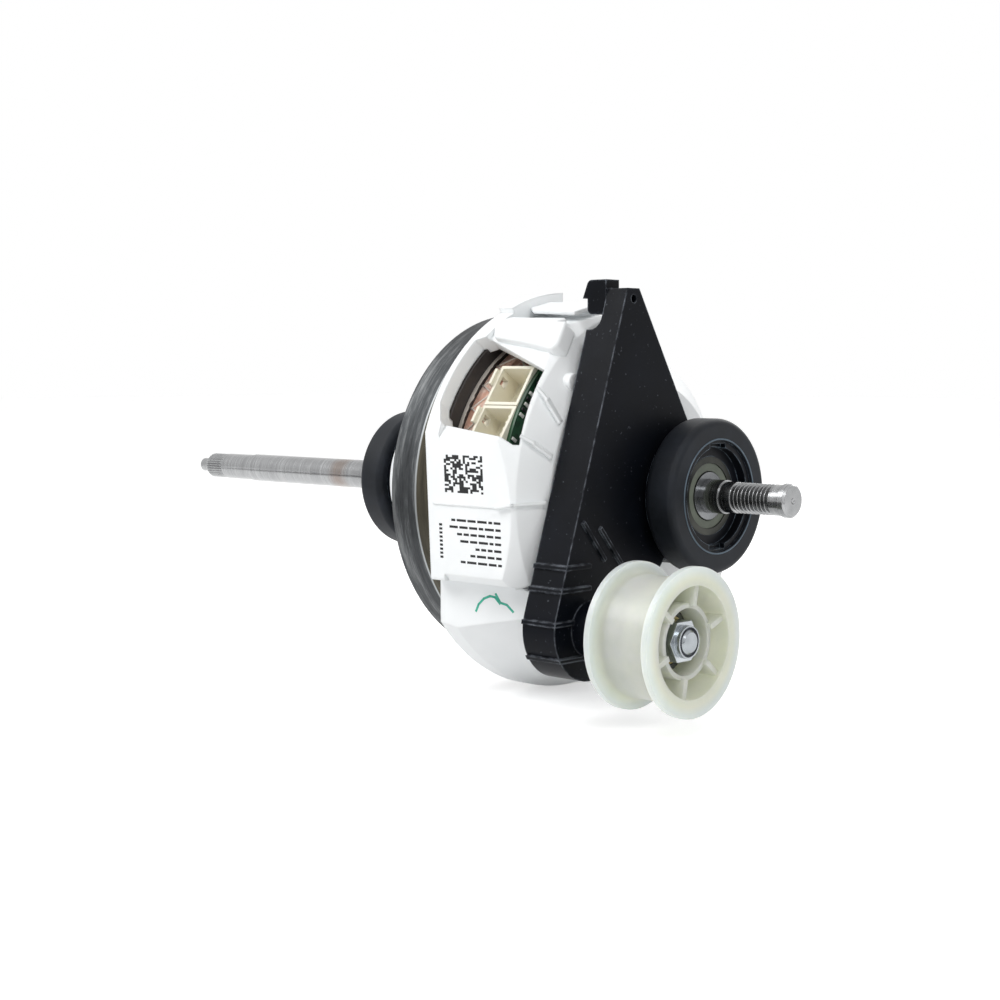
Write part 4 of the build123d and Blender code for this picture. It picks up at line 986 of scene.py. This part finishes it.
# %% Shoulder ribs and boss
RIBS = (
    ((-31.8, 65.9, 35.5), (-29.0, 62.3, 33.5), (-26.0, 55.5, 29.0)),
    ((-31.8, 65.9, 19.5), (-29.0, 62.3, 18.5), (-26.0, 55.5, 16.0)),
    ((-38.5, 66.7, -2.3), (-31.8, 66.0, -1.2), (-26.5, 56.4, -0.9)),
)
RIB_SINK, RIB_RISE, RIB_WIDTH, RIB_OVERLAP = 2.0, 1.9, 1.2, 0.6
SEAM_X, SEAM_Y, SEAM_SIDE = (-70.0, -38.0), 0.8, 0.7
BOSS_PLACE, BOSS_FOOT, BOSS_TOP, BOSS_LENGTH = (-27.6, 57.6, 44.4), 3.4, 2.9, 3.4
ribs = bmesh.new()
for rib in RIBS:
    for near, far in zip(rib, rib[1:]):
        start, end = on_ring(*near), on_ring(*far)
        run = end - start
        outwards = on_ring(0, 1, (near[2] + far[2]) / 2)
        sideways = run.cross(outwards).normalized()
        upright = sideways.cross(run).normalized()
        along_rib = frame_at((start + end) / 2, run.normalized(), sideways, upright)
        size = (run.length + RIB_OVERLAP, RIB_WIDTH, RIB_SINK + RIB_RISE)
        block(ribs, along_rib, (0, 0, (RIB_RISE - RIB_SINK) / 2), size)
seam_middle, seam_length = (SEAM_X[0] + SEAM_X[1]) / 2, SEAM_X[1] - SEAM_X[0]
block(ribs, box_face, (seam_middle, SEAM_Y, 0.0), (seam_length, SEAM_SIDE, SEAM_SIDE))
finished("shoulder_ribs", ribs, white_plastic, "root")

boss = bmesh.new()
bmesh.ops.create_cone(
    boss, cap_ends=True, segments=48, radius1=BOSS_FOOT, radius2=BOSS_TOP, depth=BOSS_LENGTH,
    matrix=Matrix.Translation(on_ring(*BOSS_PLACE)) @ LYING,
)
finished("shoulder_boss", boss, white_plastic, "root")
print("shoulder:", len(RIBS), "ribs, a seam and a boss")

# %% [markdown]
# ## Lid and strap
# Above the window the box carries a raised lid that folds over onto its top face, and a thin
# strap lies beside the spring hook. Both are outlines drawn flat on a face and extruded, and
# their edges are bevelled because a moulded part has no sharp ones.

# %% Raised lid above the window, and the strap beside the hook
LID_ON_WINDOW_FACE = ((-66, 25.2), (-62.2, 18.2), (-45, 15.4), (-31.5, 12.6), (-29.5, 15), (-31, 25.2))
LID_ON_TOP_FACE = ((-66, -25), (-66, -15), (-52, -17.5), (-35.4, -19.5), (-35.4, -25))
WINDOW_LID_HEIGHTS, TOP_LID_HEIGHTS, LID_ROUND_OFF = (62.0, 69.4), (64.8, 69.2), 1.2
STRAP = ((-69.0, -2.0), (-60, -10), (-35.4, -15.5), (-35.4, -5.5), (-42.4, 1.3), (-69.0, 6.5))
STRAP_FOOT = ((-69, 3), (-36, -4), (-36, -1.5), (-69, 6))
STRAP_HEIGHTS, STRAP_FOOT_HEIGHTS, STRAP_ROUND_OFF = (69.0, 70.4), (65.0, 69.6), 0.4
WINDOW_FACE_ANGLE, TOP_FACE_ANGLE = 37.0, 77.0
window_face = face_frame(WINDOW_FACE_ANGLE, 0.0)
top_face = face_frame(TOP_FACE_ANGLE, 0.0)
lid = bmesh.new()
prism(lid, window_face, LID_ON_WINDOW_FACE, WINDOW_LID_HEIGHTS, LID_ROUND_OFF)
prism(lid, top_face, LID_ON_TOP_FACE, TOP_LID_HEIGHTS, LID_ROUND_OFF)
finished("window_lid", lid, white_plastic, "root")
strap = bmesh.new()
prism(strap, top_face, STRAP, STRAP_HEIGHTS, STRAP_ROUND_OFF)
prism(strap, top_face, STRAP_FOOT, STRAP_FOOT_HEIGHTS, STRAP_ROUND_OFF)
finished("hook_strap", strap, white_plastic, "root")
print("lid and strap made")
